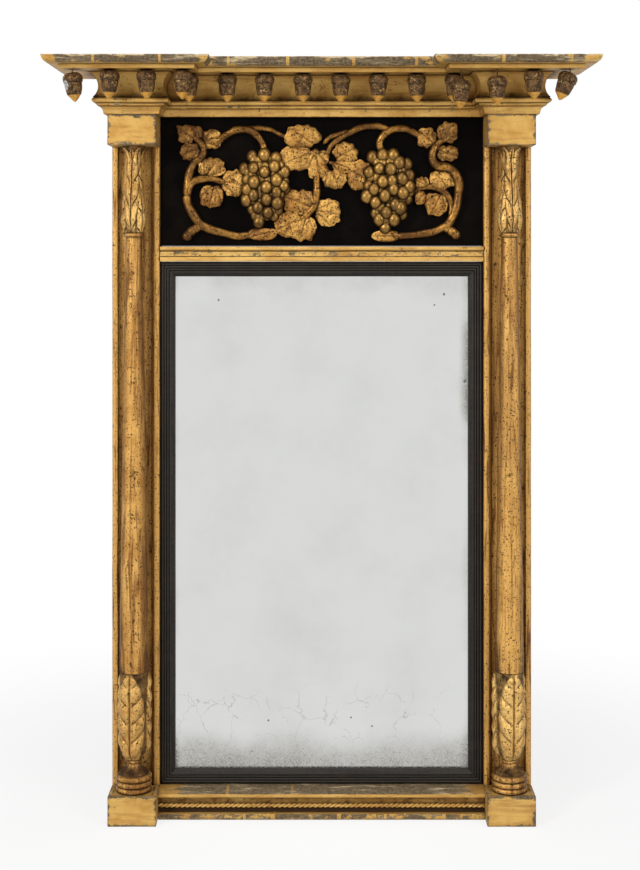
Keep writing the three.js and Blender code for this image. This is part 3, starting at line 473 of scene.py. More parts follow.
def metal_finish(name, light, dull, gloss):
    f = Finish(name)
    tarnish, scratch = f.clouds(6, 5, 0.6), f.clouds(1.4, 3, stretch=(0.1, 1, 1))
    colour = f.coat(f.step(tarnish, 0.4, 0.65), light, dull)
    colour = f.coat(f.step(f.read("edge"), 0.3, 0.9) * 0.4, colour, light)
    return f.done(colour, gloss + tarnish * 0.25, scratch, 0.08, Metallic=0.9)


LACQUER, EBONISED, GLASS, PINE = lacquer(), ebonised(), old_glass(), pine()
BRASS = metal_finish("aged_brass", (190, 150, 82), (122, 92, 50), 0.26)
STEEL = metal_finish("dull_steel", (142, 140, 136), (88, 84, 80), 0.32)
print("finishes", [m.name for m in (LACQUER, EBONISED, GLASS, PINE, BRASS, STEEL)])

# %% [markdown]
# ## From points to a finished piece
# Nearly all pieces are skins over rings of points: a moulding is the same outline at many places along its
# length, a turning is a circle at many heights. `piece` turns such points into a mesh, welds what falls
# together, turns the faces outward and measures how sharply every edge bends, which the gilding reads.

# %% Piece helper
FACES_WALL = 0.85


def skin(rings, closed=True):
    """Faces over rings of equally many points; the first and last ring are closed by a flat face."""
    rings = np.asarray(rings, float)
    count, around = rings.shape[:2]
    row = np.arange(count - 1)[:, None] * around
    side = np.arange(around)[None, :]
    beside = (side + 1) % around
    quads = np.stack([row + side, row + beside, row + around + beside, row + around + side], -1)
    faces = quads.reshape(-1, 4).tolist()
    if closed:
        faces.append(list(range(around))[::-1])
        faces.append(list(range((count - 1) * around, count * around)))
    return rings.reshape(-1, 3), faces


def merged(*parts):
    points, faces = [], []
    for part_points, part_faces in parts:
        start = sum(len(p) for p in points)
        points.append(np.asarray(part_points, float))
        faces += [[start + corner for corner in face] for face in part_faces]
    return np.concatenate(points), faces


def between(values, low, high):
    return (values > low) & (values < high)


def read_all(items, name, width=1, kind=float):
    values = np.empty(len(items) * width, kind)
    items.foreach_get(name, values)
    return values.reshape(-1, width) if width > 1 else values


def write_mark(mesh, name, values):
    layer = mesh.attributes.new(name, "FLOAT", "POINT")
    layer.data.foreach_set("value", np.asarray(values, np.float32))


def mark_bends(mesh):
    """Writes `edge` and `hollow`: how sharply the surface turns out or in, 1 for a radius of 1 mm or less."""
    normal, centre = (read_all(mesh.polygons, name, 3) for name in ("normal", "center"))
    edge_of = read_all(mesh.loops, "edge_index", kind=int)
    face_of = np.repeat(np.arange(len(normal)), read_all(mesh.polygons, "loop_total", kind=int))
    order = np.argsort(edge_of, kind="stable")
    edge_of, face_of = edge_of[order], face_of[order]
    pair = np.flatnonzero(edge_of[:-1] == edge_of[1:])
    one, two = face_of[pair], face_of[pair + 1]
    apart = centre[two] - centre[one]
    reach = np.maximum(np.linalg.norm(apart, axis=1) * 1000, 0.3)
    angle = np.arccos(np.clip((normal[one] * normal[two]).sum(1), -1, 1))
    turn = np.sign((apart * (normal[two] - normal[one])).sum(1)) * angle / reach
    ends = read_all(mesh.edges, "vertices", 2, int)[edge_of[pair]]
    out, into = np.zeros(len(mesh.vertices)), np.zeros(len(mesh.vertices))
    for column in (0, 1):
        np.maximum.at(out, ends[:, column], turn)
        np.maximum.at(into, ends[:, column], -turn)
    write_mark(mesh, "edge", np.clip(out, 0, 1))
    write_mark(mesh, "hollow", np.clip(into, 0, 1))


def piece(name, shape, finish, stands_for, slot="gilt_wood", body=BODY, marks=None, weld=0.02, crease=38,
          back=None):
    """One piece of the mirror in the place of its solid; `weld` is in mm, `crease` in degrees."""
    points, faces = shape
    mesh = bpy.data.meshes.new(name)
    mesh.from_pydata(np.clip(metres(points), *CASE_BOX).tolist(), [], faces)
    for mark, values in (marks or {}).items():
        write_mark(mesh, mark, values)
    work = bmesh.new()
    work.from_mesh(mesh)
    bmesh.ops.remove_doubles(work, verts=work.verts, dist=weld / 1000)
    bmesh.ops.recalc_face_normals(work, faces=work.faces)
    work.to_mesh(mesh)
    work.free()
    mesh.shade_smooth()
    mesh.set_sharp_from_angle(angle=math.radians(crease))
    mark_bends(mesh)
    mesh.materials.append(finish)
    if back is not None:
        mesh.materials.append(back)
        for face in mesh.polygons:
            if face.normal.y > FACES_WALL:
                face.material_index = 1
    thing = placed(name, mesh)
    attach(thing, body)
    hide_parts(stands_for)
    return thing


def flipped(shape):
    points, faces = shape
    return np.asarray(points, float) * (-1, 1, 1), [face[::-1] for face in faces]


SIDES = (("left", -1), ("right", 1))


def on_side(side, shape):
    return shape if side > 0 else flipped(shape)


def wavy(points, amount, size, seed):
    """Hand-carved unevenness: every point wanders by up to `amount` mm in waves about `size` mm long."""
    points = np.asarray(points, float).copy()
    for row in points.reshape(-1, 3):
        at = Vector(row / size) + Vector((seed, 0, 0))
        row += np.array(mnoise.noise_vector(at)) * amount
    return points


def drift(*place):
    """A slow wander between -1 and 1, at the places given by three rows of coordinates."""
    where = np.stack(np.broadcast_arrays(*place), -1)
    return np.array([mnoise.noise(Vector(at)) for at in where.reshape(-1, 3)]).reshape(where.shape[:-1])


print("piece helper ready")

# %% [markdown]
# ## Outlines with soft corners
# A plane leaves crisp corners, but gesso and gold round them off. `soften` trades every corner of an
# outline for a small curve, and `bow` gives points on an arc.

# %% Outline helpers
def bow(centre, radius_x, radius_y, start, end, steps):
    angles = np.radians(np.linspace(start, end, steps + 1))
    return [(centre[0] + radius_x * math.cos(a), centre[1] + radius_y * math.sin(a)) for a in angles]


def soften(outline, radius, steps=3):
    points = [np.array(p, float) for p in outline]
    made = []
    for i, corner in enumerate(points):
        before, after = points[i - 1] - corner, points[(i + 1) % len(points)] - corner
        length_before, length_after = np.linalg.norm(before), np.linalg.norm(after)
        turn = math.acos(max(-1, min(1, np.dot(before, after) / (length_before * length_after))))
        if math.pi - turn < math.radians(24):
            made.append(corner)
            continue
        start = corner + before / length_before * min(radius, 0.45 * length_before)
        end = corner + after / length_after * min(radius, 0.45 * length_after)
        for t in np.linspace(0, 1, steps + 1):
            made.append((1 - t) ** 2 * start + 2 * t * (1 - t) * corner + t * t * end)
    return np.array(made)


def moulding(outline, stations, start_of, end_of, place):
    """An outline of (out, up) run along `stations`, cut off by each point's own start and end."""
    outline = np.asarray(outline, float)
    starts = np.array([start_of(out) for out, _ in outline])
    ends = np.array([end_of(out) for out, _ in outline])
    inner = [s for s in stations if starts.min() < s < ends.max()]
    rows = [starts] + [np.clip(np.full(len(outline), s), starts, ends) for s in inner] + [ends]
    rings = [[place(out, up, s) for (out, up), s in zip(outline, row)] for row in rows]
    points, faces = skin(rings)
    along = np.concatenate(rows)
    profile = np.tile(outline, (len(rows), 1))
    return (points, faces), profile, along


print("soft corner test:", len(soften([(0, 0), (10, 0), (10, 10), (0, 10)], 1)), "points")

# %% [markdown]
# ## Stiles
# Each stile is one pine board. Its face is a shallow reddish recess between two bright gilt fillets, and the
# column stands in front of it. The outline is drawn as if looking down on the board, then carried up its
# height; behind the blocks the recess is filled, so the same outline is used with its floor pushed forward.

# %% Stiles
INNER_FILLET, OUTER_FILLET = 12.0, 6.5
RECESS = 10.0


def stile_outline(recess):
    floor = CARCASE - recess
    inner, outer = OPENING, WIDTH
    left, right = inner + INNER_FILLET, outer - OUTER_FILLET
    return [(inner, 0), (inner, -CARCASE + 2.2), (inner + 2.2, -CARCASE), (left - 4.4, -CARCASE),
            (left - 3.6, -CARCASE + 1.4), (left - 0.6, -CARCASE + 6.0),
            (left, -floor), (left + 0.4, -floor), (right - 0.4, -floor), (right, -floor),
            (right, -CARCASE + 1.6), (right - 1.6, -CARCASE), (outer - 2.2, -CARCASE), (outer, -CARCASE + 2.2),
            (outer, 0)]


def stile(side):
    top = STILE_HIGH[2]
    levels = [0, PLINTH_TOP, PLINTH_TOP + 0.02, *np.arange(PLINTH_TOP + 8, CAPITAL_FOOT - 4, 8.0),
              CAPITAL_FOOT - 0.02, CAPITAL_FOOT, top]
    full, cut = (soften(stile_outline(depth), 0.9, 2) for depth in (0.4, RECESS))
    rings = []
    for level in levels:
        outline = cut if PLINTH_TOP < level < CAPITAL_FOOT else full
        rings.append([(x, y, level) for x, y in outline])
    points, faces = skin(rings)
    floor = np.tile((cut[:, 1] > -CARCASE + 3) & between(cut[:, 0], OPENING + 3, WIDTH - 3), len(levels))
    wall = np.tile(np.abs(cut[:, 1] + CARCASE) < 2, len(levels))
    front = wavy(points, 0.25, 55, 3 + side)
    points = np.where((points[:, 1] < -1)[:, None], front, points)
    marks = {"red": floor * 0.45 - wall * 0.9, "grey": wall * 0.03, "fresh_and_highlight": wall * 0.8 + floor * 0.30}
    return on_side(side, (points, faces)), marks


for word, side in SIDES:
    shape, marks = stile(side)
    piece(f"gilt_stile_{word}", shape, BRONZED, f"stile_{word}", slot="bronzed_gilt_wood", marks=marks,
          back=PINE)
print("stiles", round(STILE_HIGH[2]), "mm tall")

# %% [markdown]
# ## Stepped rails
# Three rails tie the stiles. Above the glass runs a half-round bead, a worn band and a fillet; below it a
# sloping bevel, worn grey with golden strips where sheets of leaf overlapped, then a hollow that holds a
# rope bead. They are planed mouldings, so each is one outline carried along a straight line.

# %% Rails
BEVEL_LAP, FOOT_LAP = 1.6, 2.4


def lap_half(spot, width):
    return width * (0.7 + 0.5 * abs(math.sin(spot)))


def lap_marks(along, spots, width):
    return sum((np.abs(along - spot) < lap_half(spot, width)).astype(float) for spot in spots)


def stations_for(spots, width, low, high, step):
    edges = [s + sign * lap_half(s, width) + shift for s in spots for sign in (-1, 1)
             for shift in (-0.15, 0.15)]
    return sorted(set(np.round(np.concatenate([np.arange(low, high, step), edges]), 3)))


def rail_piece(name, outline, low, stands_for, marks_of, seed, radius=0.8, spots=(), slot="gilt_wood"):
    half = OPENING - 0.3
    smooth = soften(outline, radius)
    stations = np.arange(-half + 5, half, 5.0)
    if spots:
        stations = stations_for(spots, FOOT_LAP, -half + 5, half - 4, 5.0)
    shape, profile, along = moulding(
        smooth, stations, lambda _: -half, lambda _: half, lambda depth, up, x: (x, -depth, low + up))
    points = np.where((profile[:, 0] > 3)[:, None], wavy(shape[0], 0.22, 42, seed), shape[0])
    piece(name, (points, shape[1]), BRIGHT, stands_for, slot=slot, marks=marks_of(profile, along), back=PINE)


middle_low = mm("middle_rail")[0][2]
middle_high = mm("middle_rail")[1][2] - middle_low
bead = bow((CARCASE - 1, middle_high - 3.2), 2.7, 3.0, -88, 88, 10)
middle = [(0, 0), (CARCASE, 0.2), (CARCASE, 6.7), (CARCASE - 1.7, 7.0), (CARCASE - 1.4, 14.2),
          (CARCASE - 2.6, 14.8),
          *bead, (0, middle_high)]


def middle_marks(profile, along):
    up = profile[:, 1]
    band, seam = between(up, 6.9, 14.9), between(up, 14.1, 15.4) | between(up, 6.4, 7.4)
    return {"grey": band * 0.42, "dark": seam * 0.7, "red": 0.35 + 0 * along}


rail_piece("bead_rail", middle, middle_low, "middle_rail", middle_marks, 11)

RAIL_FACE = CARCASE + 24
ROPE_BACK = CARCASE + 14
hollow = bow((RAIL_FACE - 4, 21.6), RAIL_FACE - 4 - ROPE_BACK, 9.7, 180, 92, 8)
bottom = [(0, 0), (RAIL_FACE - 2, 0), (RAIL_FACE - 2, 8.2), (ROPE_BACK + 1, 8.4), (ROPE_BACK, 15.0), *hollow,
          (RAIL_FACE, 31.5), (RAIL_FACE, 35.8), (CARCASE, 40), (0, 40)]
BEVEL_LAPS = [-130.5, -40.7, 61.0, 132.0]
FOOT_LAPS = [-156.5, -107.0, -67.7, 24.0, 88.0, 169.0]


def bottom_marks(profile, along):
    out, up = profile[:, 0], profile[:, 1]
    bevel = (up > 35.9) & (out > CARCASE - 1)
    foot = between(up, 0.4, 8.0) & (out > RAIL_FACE - 3)
    inside = between(out, 20, RAIL_FACE - 1.5) & between(up, 8.4, 31)
    patch = np.interp(along, [-226, -208, -186, 0, 150, 190, 226], [0.25, 0.42, 0.95, 1, 1, 0.75, 0.38])
    laps = bevel * lap_marks(along, BEVEL_LAPS, BEVEL_LAP) + foot * lap_marks(along, FOOT_LAPS, FOOT_LAP)
    # The hollow behind the rope is darkened as painted shade, most below the rope.
    return {"grey": bevel * 0.78 * patch + foot * 0.55, "dark": inside * np.where(up < 17, 0.80, 0.46),
            "chalk": bevel * 0.24, "red": inside * 1.2, "lap": laps}


rail_piece("hollow_rail", bottom, 0, "bottom_rail", bottom_marks, 23, radius=0.6, spots=BEVEL_LAPS + FOOT_LAPS,
           slot="bronzed_gilt_wood")
print("rails", "middle", round(middle_low, 1), "bottom 40 mm high")

# %% [markdown]
# ## Rope bead
# A carver cuts a rope from a plain rod by slanting cuts at even steps. Here it is laid like a real rope: two
# strands wind round one axis. Geometry Nodes repeat a spiral, because only its length, pitch and thickness
# matter and all three may be changed later.

# %% Geometry Nodes helpers
def new_tree(name, inputs):
    tree = bpy.data.node_groups.new(name, "GeometryNodeTree")
    tree.interface.new_socket("Geometry", in_out="INPUT", socket_type="NodeSocketGeometry")
    for label, kind, value in inputs:
        socket = tree.interface.new_socket(label, in_out="INPUT", socket_type=kind)
        if value is not None:
            socket.default_value = value
    tree.interface.new_socket("Geometry", in_out="OUTPUT", socket_type="NodeSocketGeometry")
    return tree, tree.nodes.new("NodeGroupInput"), tree.nodes.new("NodeGroupOutput")


def node_in(tree, kind, links=(), values=()):
    node = tree.nodes.new(kind)
    for key, socket in dict(links).items():
        tree.links.new(socket, node.inputs[key])
    for key, value in dict(values).items():
        node.inputs[key].default_value = value
    return node


def point_value(tree, name):
    """A value written on each point of the mesh that the tree works on."""
    node = tree.nodes.new("GeometryNodeInputNamedAttribute")
    node.data_type = "FLOAT"
    node.inputs["Name"].default_value = name
    return node.outputs["Attribute"]


def finished(tree, start, end, shape):
    """Ends a tree: instances become real and get the finish."""
    real = node_in(tree, "GeometryNodeRealizeInstances", {"Geometry": shape})
    coat = node_in(tree, "GeometryNodeSetMaterial",
                   {"Geometry": real.outputs[0], "Material": start.outputs["Finish"]})
    tree.links.new(coat.outputs[0], end.inputs[0])
    return tree


def grown(base_mesh, tree, values):
    """Runs a tree on a mesh and gives back its result as plain points in millimetres and faces."""
    base = placed("base", base_mesh)
    modifier = base.modifiers.new("grow", "NODES")
    modifier.node_group = tree
    for socket in tree.interface.items_tree:
        if socket.in_out == "INPUT" and socket.name in values:
            modifier[socket.identifier] = values[socket.name]
    graph = bpy.context.evaluated_depsgraph_get()
    result = bpy.data.meshes.new_from_object(base.evaluated_get(graph))
    base.modifiers.remove(modifier)
    bpy.data.objects.remove(base)
    return read_all(result.vertices, "co", 3) * 1000, [list(face.vertices) for face in result.polygons]


print("geometry nodes helpers ready")

# %% Rope tree
def rope_tree():
    tree, start, end = new_tree("rope", [
        ("Length", "NodeSocketFloat", 0.4), ("Turns", "NodeSocketFloat", 30.0),
        ("Strand radius", "NodeSocketFloat", 0.001),
        ("Winding radius", "NodeSocketFloat", 0.001), ("Finish", "NodeSocketMaterial", None)])
    spiral = node_in(tree, "GeometryNodeCurveSpiral", {
        "Rotations": start.outputs["Turns"], "Height": start.outputs["Length"],
        "Start Radius": start.outputs["Winding radius"],
        "End Radius": start.outputs["Winding radius"]}, {"Resolution": 14})
    section = node_in(tree, "GeometryNodeCurvePrimitiveCircle", {"Radius": start.outputs["Strand radius"]},
                      {"Resolution": 9})
    strand = node_in(tree, "GeometryNodeCurveToMesh",
                     {"Curve": spiral.outputs[0], "Profile Curve": section.outputs[0]}, {"Fill Caps": True})
    second = node_in(tree, "GeometryNodeTransform", {"Geometry": strand.outputs[0]},
                     {"Rotation": (0, 0, math.pi)})
    both = tree.nodes.new("GeometryNodeJoinGeometry")
    tree.links.new(strand.outputs[0], both.inputs[0])
    tree.links.new(second.outputs[0], both.inputs[0])
    return finished(tree, start, end, both.outputs[0])


ROPE_PITCH = 14.2
rope_low, rope_high = mm("rope_bead")
rope_length = rope_high[0] - rope_low[0]
points, faces = grown(bpy.data.meshes.new("rope_base"), rope_tree(), {
    "Length": rope_length / 1000, "Turns": rope_length / ROPE_PITCH, "Strand radius": 0.0015,
    "Winding radius": 0.00145, "Finish": BRIGHT})
rope_y, rope_z = (rope_low[1] + rope_high[1]) / 2, (rope_low[2] + rope_high[2]) / 2
points = np.stack([points[:, 2] + rope_low[0], points[:, 0] * 0.98 + rope_y - 0.2, points[:, 1] + rope_z], 1)
core, core_faces = skin([[(x, rope_y + 1.5 * math.cos(a), rope_z + 1.5 * math.sin(a))
                          for a in np.linspace(0, 2 * math.pi, 10, endpoint=False)]
                         for x in (rope_low[0], rope_high[0])])
piece("rope_bead_gilt", merged((points, faces), (core, core_faces)), BRIGHT, "rope_bead")
print("rope", round(rope_length), "mm,", round(rope_length / ROPE_PITCH), "turns")

# %% [markdown]
# ## Blocks
# Square blocks carry the columns and cap them. Their faces are bright in the middle and rubbed grey and
# brown along the edges, as a gilder's burnisher and a duster leave them. A fine grid over a rounded box
# lets `grey` and `dark` be written by each point's distance from the nearest edge.

# %% Blocks
def rounded_block(low, high, radius, cell):
    low, high = np.array(low, float), np.array(high, float)
    parts = []
    for axis in range(3):
        u, v = [a for a in range(3) if a != axis]
        lines = []
        for a in (u, v):
            count = max(2, int(round((high[a] - low[a]) / cell)))
            inner = np.linspace(low[a] + radius, high[a] - radius, count)
            rim = radius * (1 - np.cos(np.linspace(0, math.pi / 2, 4)[1:-1]))
            lines.append(np.concatenate([[low[a]], low[a] + radius * 0.3 + rim * 0.4, inner,
                                         high[a] - radius * 0.3 - rim[::-1] * 0.4, [high[a]]]))
        for end in (low[axis], high[axis]):
            grid = np.empty((len(lines[0]), len(lines[1]), 3))
            grid[..., axis] = end
            grid[..., u] = lines[0][:, None]
            grid[..., v] = lines[1][None, :]
            rows, columns = grid.shape[:2]
            index = np.arange(rows * columns).reshape(rows, columns)
            quads = np.stack([index[:-1, :-1], index[1:, :-1], index[1:, 1:], index[:-1, 1:]], -1)
            parts.append((grid.reshape(-1, 3), quads.reshape(-1, 4).tolist()))
    points, faces = merged(*parts)
    core = np.clip(points, low + radius, high - radius)
    out = points - core
    length = np.linalg.norm(out, axis=1, keepdims=True)
    return core + out / np.maximum(length, 1e-9) * radius, faces


def rim_distance(points, low, high):
    gaps = np.sort(np.minimum(points - low, high - points), axis=1)
    return gaps[:, 1]


for word, side in SIDES:
    for node, name, seed in ((f"plinth_{word}", "plinth_block", 5), (f"capital_block_{word}", "capital", 9)):
        low, high = mm(node)
        points, faces = rounded_block(low, high, 1.1, 2.4)
        face_top = CORNICE_FOOT if name == "capital" else high[2]
        rim = rim_distance(np.minimum(points, [1e9, 1e9, face_top]), low,
                           np.array([high[0], high[1], face_top]))
        ragged = (drift(*(points / 7 + seed).T) + 0.6 * drift(*(points / 2.5).T)) * 2.6
        grey = np.clip(1.0 - (rim + ragged) / 9, 0, 1) * 0.62
        line = np.exp(-((rim - 6.4 + ragged * 0.25) / 0.7) ** 2) * 0.42
        top_dust = (points[:, 2] > high[2] - 0.4) * 0.35 if name == "plinth_block" else 0.0
        points = np.clip(wavy(points, 0.18, 30, seed + side), low, high)
        piece(f"{name}_{word}", (points, faces), BRIGHT, node,
              marks={"grey": grey, "dark": line + top_dust, "red": (rim + ragged < 6) * 0.5})
print("blocks 4")

# %% [markdown]
# ## Cornice
# Seven lengths of one moulding, mitred at every corner: the centre, two short inner returns, two forward
# lengths and two side returns. Reading up: a small ogee, a torus, a deep scotia, the flat soffit the
# acorns hang from, a bright fillet, and a slab whose face has lost its gold. Points are kept every few
# millimetres along the length, so worn patches can be written where the real slab is bare.

# %% Cornice outline
RISE = CORNICE_TOP - CORNICE_FOOT
TORUS = bow((14.9, 18.0), 3.9, 3.45, -84, 84, 10)
SCOTIA = bow((32.4, 37.5), 21.4, 21.4, 229, 117, 20)
CORNICE = soften([
    (0.3, 0), (4.7, 0), (4.8, 1.8), (5.6, 5), (6.6, 7.7), (8, 9.8), (12.9, 11.3), (12.9, 14.4), *TORUS,
    (17.6, 21.8), *SCOTIA[1:], (57, 56.7), (58, 62.4), (68.3, 62), (72.2, 63.2), (75.0, 65.6), (76.7, 68.8),
    (77.7, RISE - 0.2), (77.2, RISE), (0.3, RISE)], 0.8)
SLAB_LAP = 1.9
SLAB_LAPS = [-302, -214, -126, -46, 43, 128, 240, 330]


def cornice_length(name, node, side, start_of, end_of, place, low, high, seed, spots=(), gold_ends=(),
                   lift=0.0):
    stations = stations_for(spots, SLAB_LAP, low, high, 4.0) if spots else np.arange(low, high, 4.0)
    shape, profile, along = moulding(CORNICE, stations, start_of, end_of, place)
    points = shape[0]
    out, up = profile[:, 0], profile[:, 1]
    slab = (up > 62.2) & (out > 66.5)
    top = up > RISE - 0.3
    chip = drift(along / 16 + seed, up / 9, 3.0)
    fray = drift(along / 4.5 + seed, 8.0, 1.0)
    free = ((out > 2) & ~top)[:, None]
    points = np.where(free, wavy(points, 0.24, 48, seed), points)
    points[:, 2] -= np.where(slab & (up > 68), np.clip(fray - 0.12, 0, 1) * 1.4, 0)
    points[:, 2] = np.minimum(points[:, 2], CORNICE_TOP) + np.clip((up - 60) / 10, 0, 1) * lift
    kept = np.interp(along, *zip(*gold_ends)) if gold_ends else 0.0  # gold left near the ends of a slab
    scotia = between(up, 22, 56.5) & (out < 60)
    worn_face = between(up, 5, 14.5) | between(up, 17.8, 22)
    seams = between(up, 10.2, 11.6) | between(up, 13.9, 15.0) | between(up, 21.2, 22.4)
    seams |= between(up, 56, 57.4) & (out < 36)
    rubbed = worn_face * np.clip(chip + fray - 0.2, 0, 1) * 1.2
    # The scotia is darker under the soffit, as painted shade, and darker at its foot.
    marks = {
        "grey": slab * np.clip(0.78 + chip * 0.5 - kept, 0.1, 1) + top * 0.5 + rubbed,
        "chalk": np.where(up > 69, 0.50, 0.24) * slab + top * 0.3,
        "dark": scotia * np.interp(up, [22, 27, 33, 44, 56], [0.62, 0.46, 0.1, 0.0, 0.34]) + seams * 0.55,
        "red": scotia * 0.75 + (up < 22) * 0.45,
    }
    if spots:
        marks["lap"] = slab * lap_marks(along, spots, SLAB_LAP)
    piece(name, on_side(side, (points, shape[1])), BRIGHT, node, marks=marks, back=PINE)


def lengthwise(face):
    return lambda out, up, x: (x, -(face + out), CORNICE_FOOT + up)


MITRE = 0.2
cornice_length("cornice_run_centre", "cornice_centre", 1, lambda out: -(OPENING - out) + MITRE,
               lambda out: OPENING - out - MITRE, lengthwise(CARCASE), -OPENING, OPENING, 2, SLAB_LAPS[2:6],
               [(-150, 0.34), (-110, 0.0), (100, 0.0), (160, 0.40)], 2.8)
for word, side in SIDES:
    laps = [abs(spot) for spot in SLAB_LAPS if spot * side > 0 and abs(spot) > 200]
    cornice_length(f"cornice_run_{word}", f"cornice_front_{word}", side, lambda out: OPENING - out + MITRE,
                   lambda out: WIDTH + out - MITRE, lengthwise(BLOCK), OPENING - 78, WIDTH + 78, 7 + side, laps,
                   [(OPENING - 78, 0.5), (OPENING - 52, 0.0), (WIDTH + 44, 0.0), (WIDTH + 70, 0.55)])
    cornice_length(f"cornice_inner_{word}", f"cornice_inner_return_{word}", side,
                   lambda out: -(BLOCK + out) + MITRE,
                   lambda out: -(CARCASE + out) - MITRE,
                   lambda out, up, y: (OPENING - out, y, CORNICE_FOOT + up), -BLOCK - 78, -CARCASE, 14 + side)
    cornice_length(f"cornice_side_{word}", f"cornice_side_return_{word}", side,
                   lambda out: -(BLOCK + out) + MITRE,
                   lambda out: 0.0, lambda out, up, y: (WIDTH + out, y, CORNICE_FOOT + up), -BLOCK - 78, 0,
                   19 + side)
print("cornice outline", len(CORNICE), "points, rise", round(RISE, 1))

# %% [markdown]
# ## Turned work of the columns
# A turner makes the base and the shaft on the lathe: three stacked rings, a hollow flare, a thin neck, then
# a long taper with a small ring under the upper carving. A profile spun round the axis gives the same.
# Streaks and waves keep the surface from looking machined.

# %% Turning helper
def spun(profile, centre, foot, around, seed=0, waves=0.15):
    profile = np.asarray(profile, float)
    angles = np.linspace(0, 2 * math.pi, around, endpoint=False)
    rings = np.empty((len(profile), around, 3))
    rings[..., 0] = centre[0] + profile[:, None, 0] * np.cos(angles)
    rings[..., 1] = centre[1] + profile[:, None, 0] * np.sin(angles)
    rings[..., 2] = foot + profile[:, None, 1]
    points, faces = skin(rings)
    return wavy(points, waves, 26, seed), faces


def base_profile():
    rings = [p for i in range(3) for p in bow((20.6, 4 + 8 * i), 4.1, 3.85, -80, 80, 10)]
    flare = bow((21.4, 40.6), 12.0, 12.6, 262, 188, 10)
    return [(16, 0.3), (20.6, 0.3), *rings, (20.2, 24.6), (20.4, 26.6), *flare, (9.3, 38.4), (9.4, 39.0),
            *bow((8.6, 41.4), 2.3, 2.35, -80, 80, 8), (8.8, 43.7), (6, 43.7)]


def shaft_profile(height):
    taper = [(20 - 8.8 * (z / (height - 6)) ** 1.06, z) for z in np.linspace(1.2, height - 8, 70)]
    ring = bow((11.1, height - 3.1), 3.1, 2.8, -84, 84, 8)
    return [(16, 0.3), (19.6, 0.3), (20, 0.9), *taper, (11.2, height - 6.4), *ring, (10.8, height - 0.05),
            (7, height - 0.05)]


base_foot = mm("column_base_left")[0][2] - 0.3
shaft_foot = mm("column_shaft_left")[0][2] - 0.3
shaft_height = mm("column_shaft_left")[1][2] - shaft_foot
for word, side in SIDES:
    axis = (side * COLUMN_X, COLUMN_Y)
    points, faces = spun(base_profile(), axis, base_foot, 72, seed=31 + side)
    rise = points[:, 2] - base_foot
    marks = {"dark": np.interp(rise, [0, 22, 25, 33, 38, 44], [0.12, 0.12, 0.6, 0.6, 0.3, 0.1]),
             "red": 0.3 + 0 * rise}
    piece(f"turned_base_{word}", (points, faces), BRONZED, f"column_base_{word}", slot="bronzed_gilt_wood",
          marks=marks)
    points, faces = spun(shaft_profile(shaft_height), axis, shaft_foot, 64, seed=37 + side, waves=0.3)
    # The shaft's flanks get painted shade with more clay colour, and its front a painted highlight that is
    # stronger on the right column.
    angle = np.arctan2(points[:, 0] - axis[0], -(points[:, 1] - axis[1]))
    sway = drift(points[:, 2] / 45, side, 0)
    flank_shade = np.clip(np.abs(np.sin(angle + 0.25 * sway)) - 0.55, 0, 1)
    ends = np.interp(points[:, 2] - shaft_foot, [0, 14, 60, shaft_height - 30, shaft_height],
                     [0.5, 0.25, 0, 0, 0.2])
    piece(f"tapered_shaft_{word}", (points, faces), BRONZED, f"column_shaft_{word}", slot="bronzed_gilt_wood",
          marks={"dark": flank_shade * 0.85 + ends * 0.6, "red": -0.1 + flank_shade * 1.2,
                 "fresh_and_highlight": np.clip(1 - 2 * flank_shade, 0, 1) * (0.45 if side > 0 else 0.1)})
print("shaft", round(shaft_height), "mm")

# %% [markdown]
# ## Carved leaf collars
# Above the base a collar of tall leaves grips the foot of the shaft; under the capital a slimmer one swells
# and then draws in to a neck before it spreads under the block. The carving is a skin over a fine grid of
# heights and angles: a core radius, plus each leaf's own relief of rib, chevron veins and scalloped edge.

# %% Leaf collars
def leaf_relief(across, share, lobes):
    """Whether a place at `across` -1 to 1 and `share` 0 to 1 up is on the leaf, its height and its painted shade
    in folds and at the rim.
    """
    width = np.sin(np.pi * np.clip(share * 0.88 + 0.10, 0, 1)) ** 0.5
    rank = lobes * (share - 0.17 * np.abs(across) ** 1.3)
    phase = np.mod(rank, 1.0)
    limit = width * (0.86 + 0.14 * np.sin(np.pi * phase) ** 0.6)
    reach = np.abs(across) / np.maximum(limit, 1e-3)
    on_leaf = 1 / (1 + np.exp(np.clip((reach - 1) * 22, -60, 60)))
    dome = 1.0 - 0.30 * np.clip(reach, 0, 1) ** 2
    puff = 0.80 * np.sin(np.pi * np.clip(phase * 1.08, 0, 1)) ** 0.7 * np.clip(np.abs(across) * 3.2, 0, 1)
    rib = -0.42 * np.exp(-(across / 0.055) ** 2) + 0.22 * np.exp(-((np.abs(across) - 0.13) / 0.06) ** 2)
    crease = np.exp(-(np.minimum(phase, 1 - phase) / 0.055) ** 2) * np.clip(np.abs(across) * 4 - 0.3, 0, 1)
    crease = np.maximum(crease, 0.9 * np.exp(-(across / 0.05) ** 2))
    rim = np.clip((reach - 0.86) / 0.14, 0, 1)
    return on_leaf, dome + (puff - 0.25 + rib) * np.clip(1.3 - reach, 0, 1), np.maximum(crease, rim * 0.7)


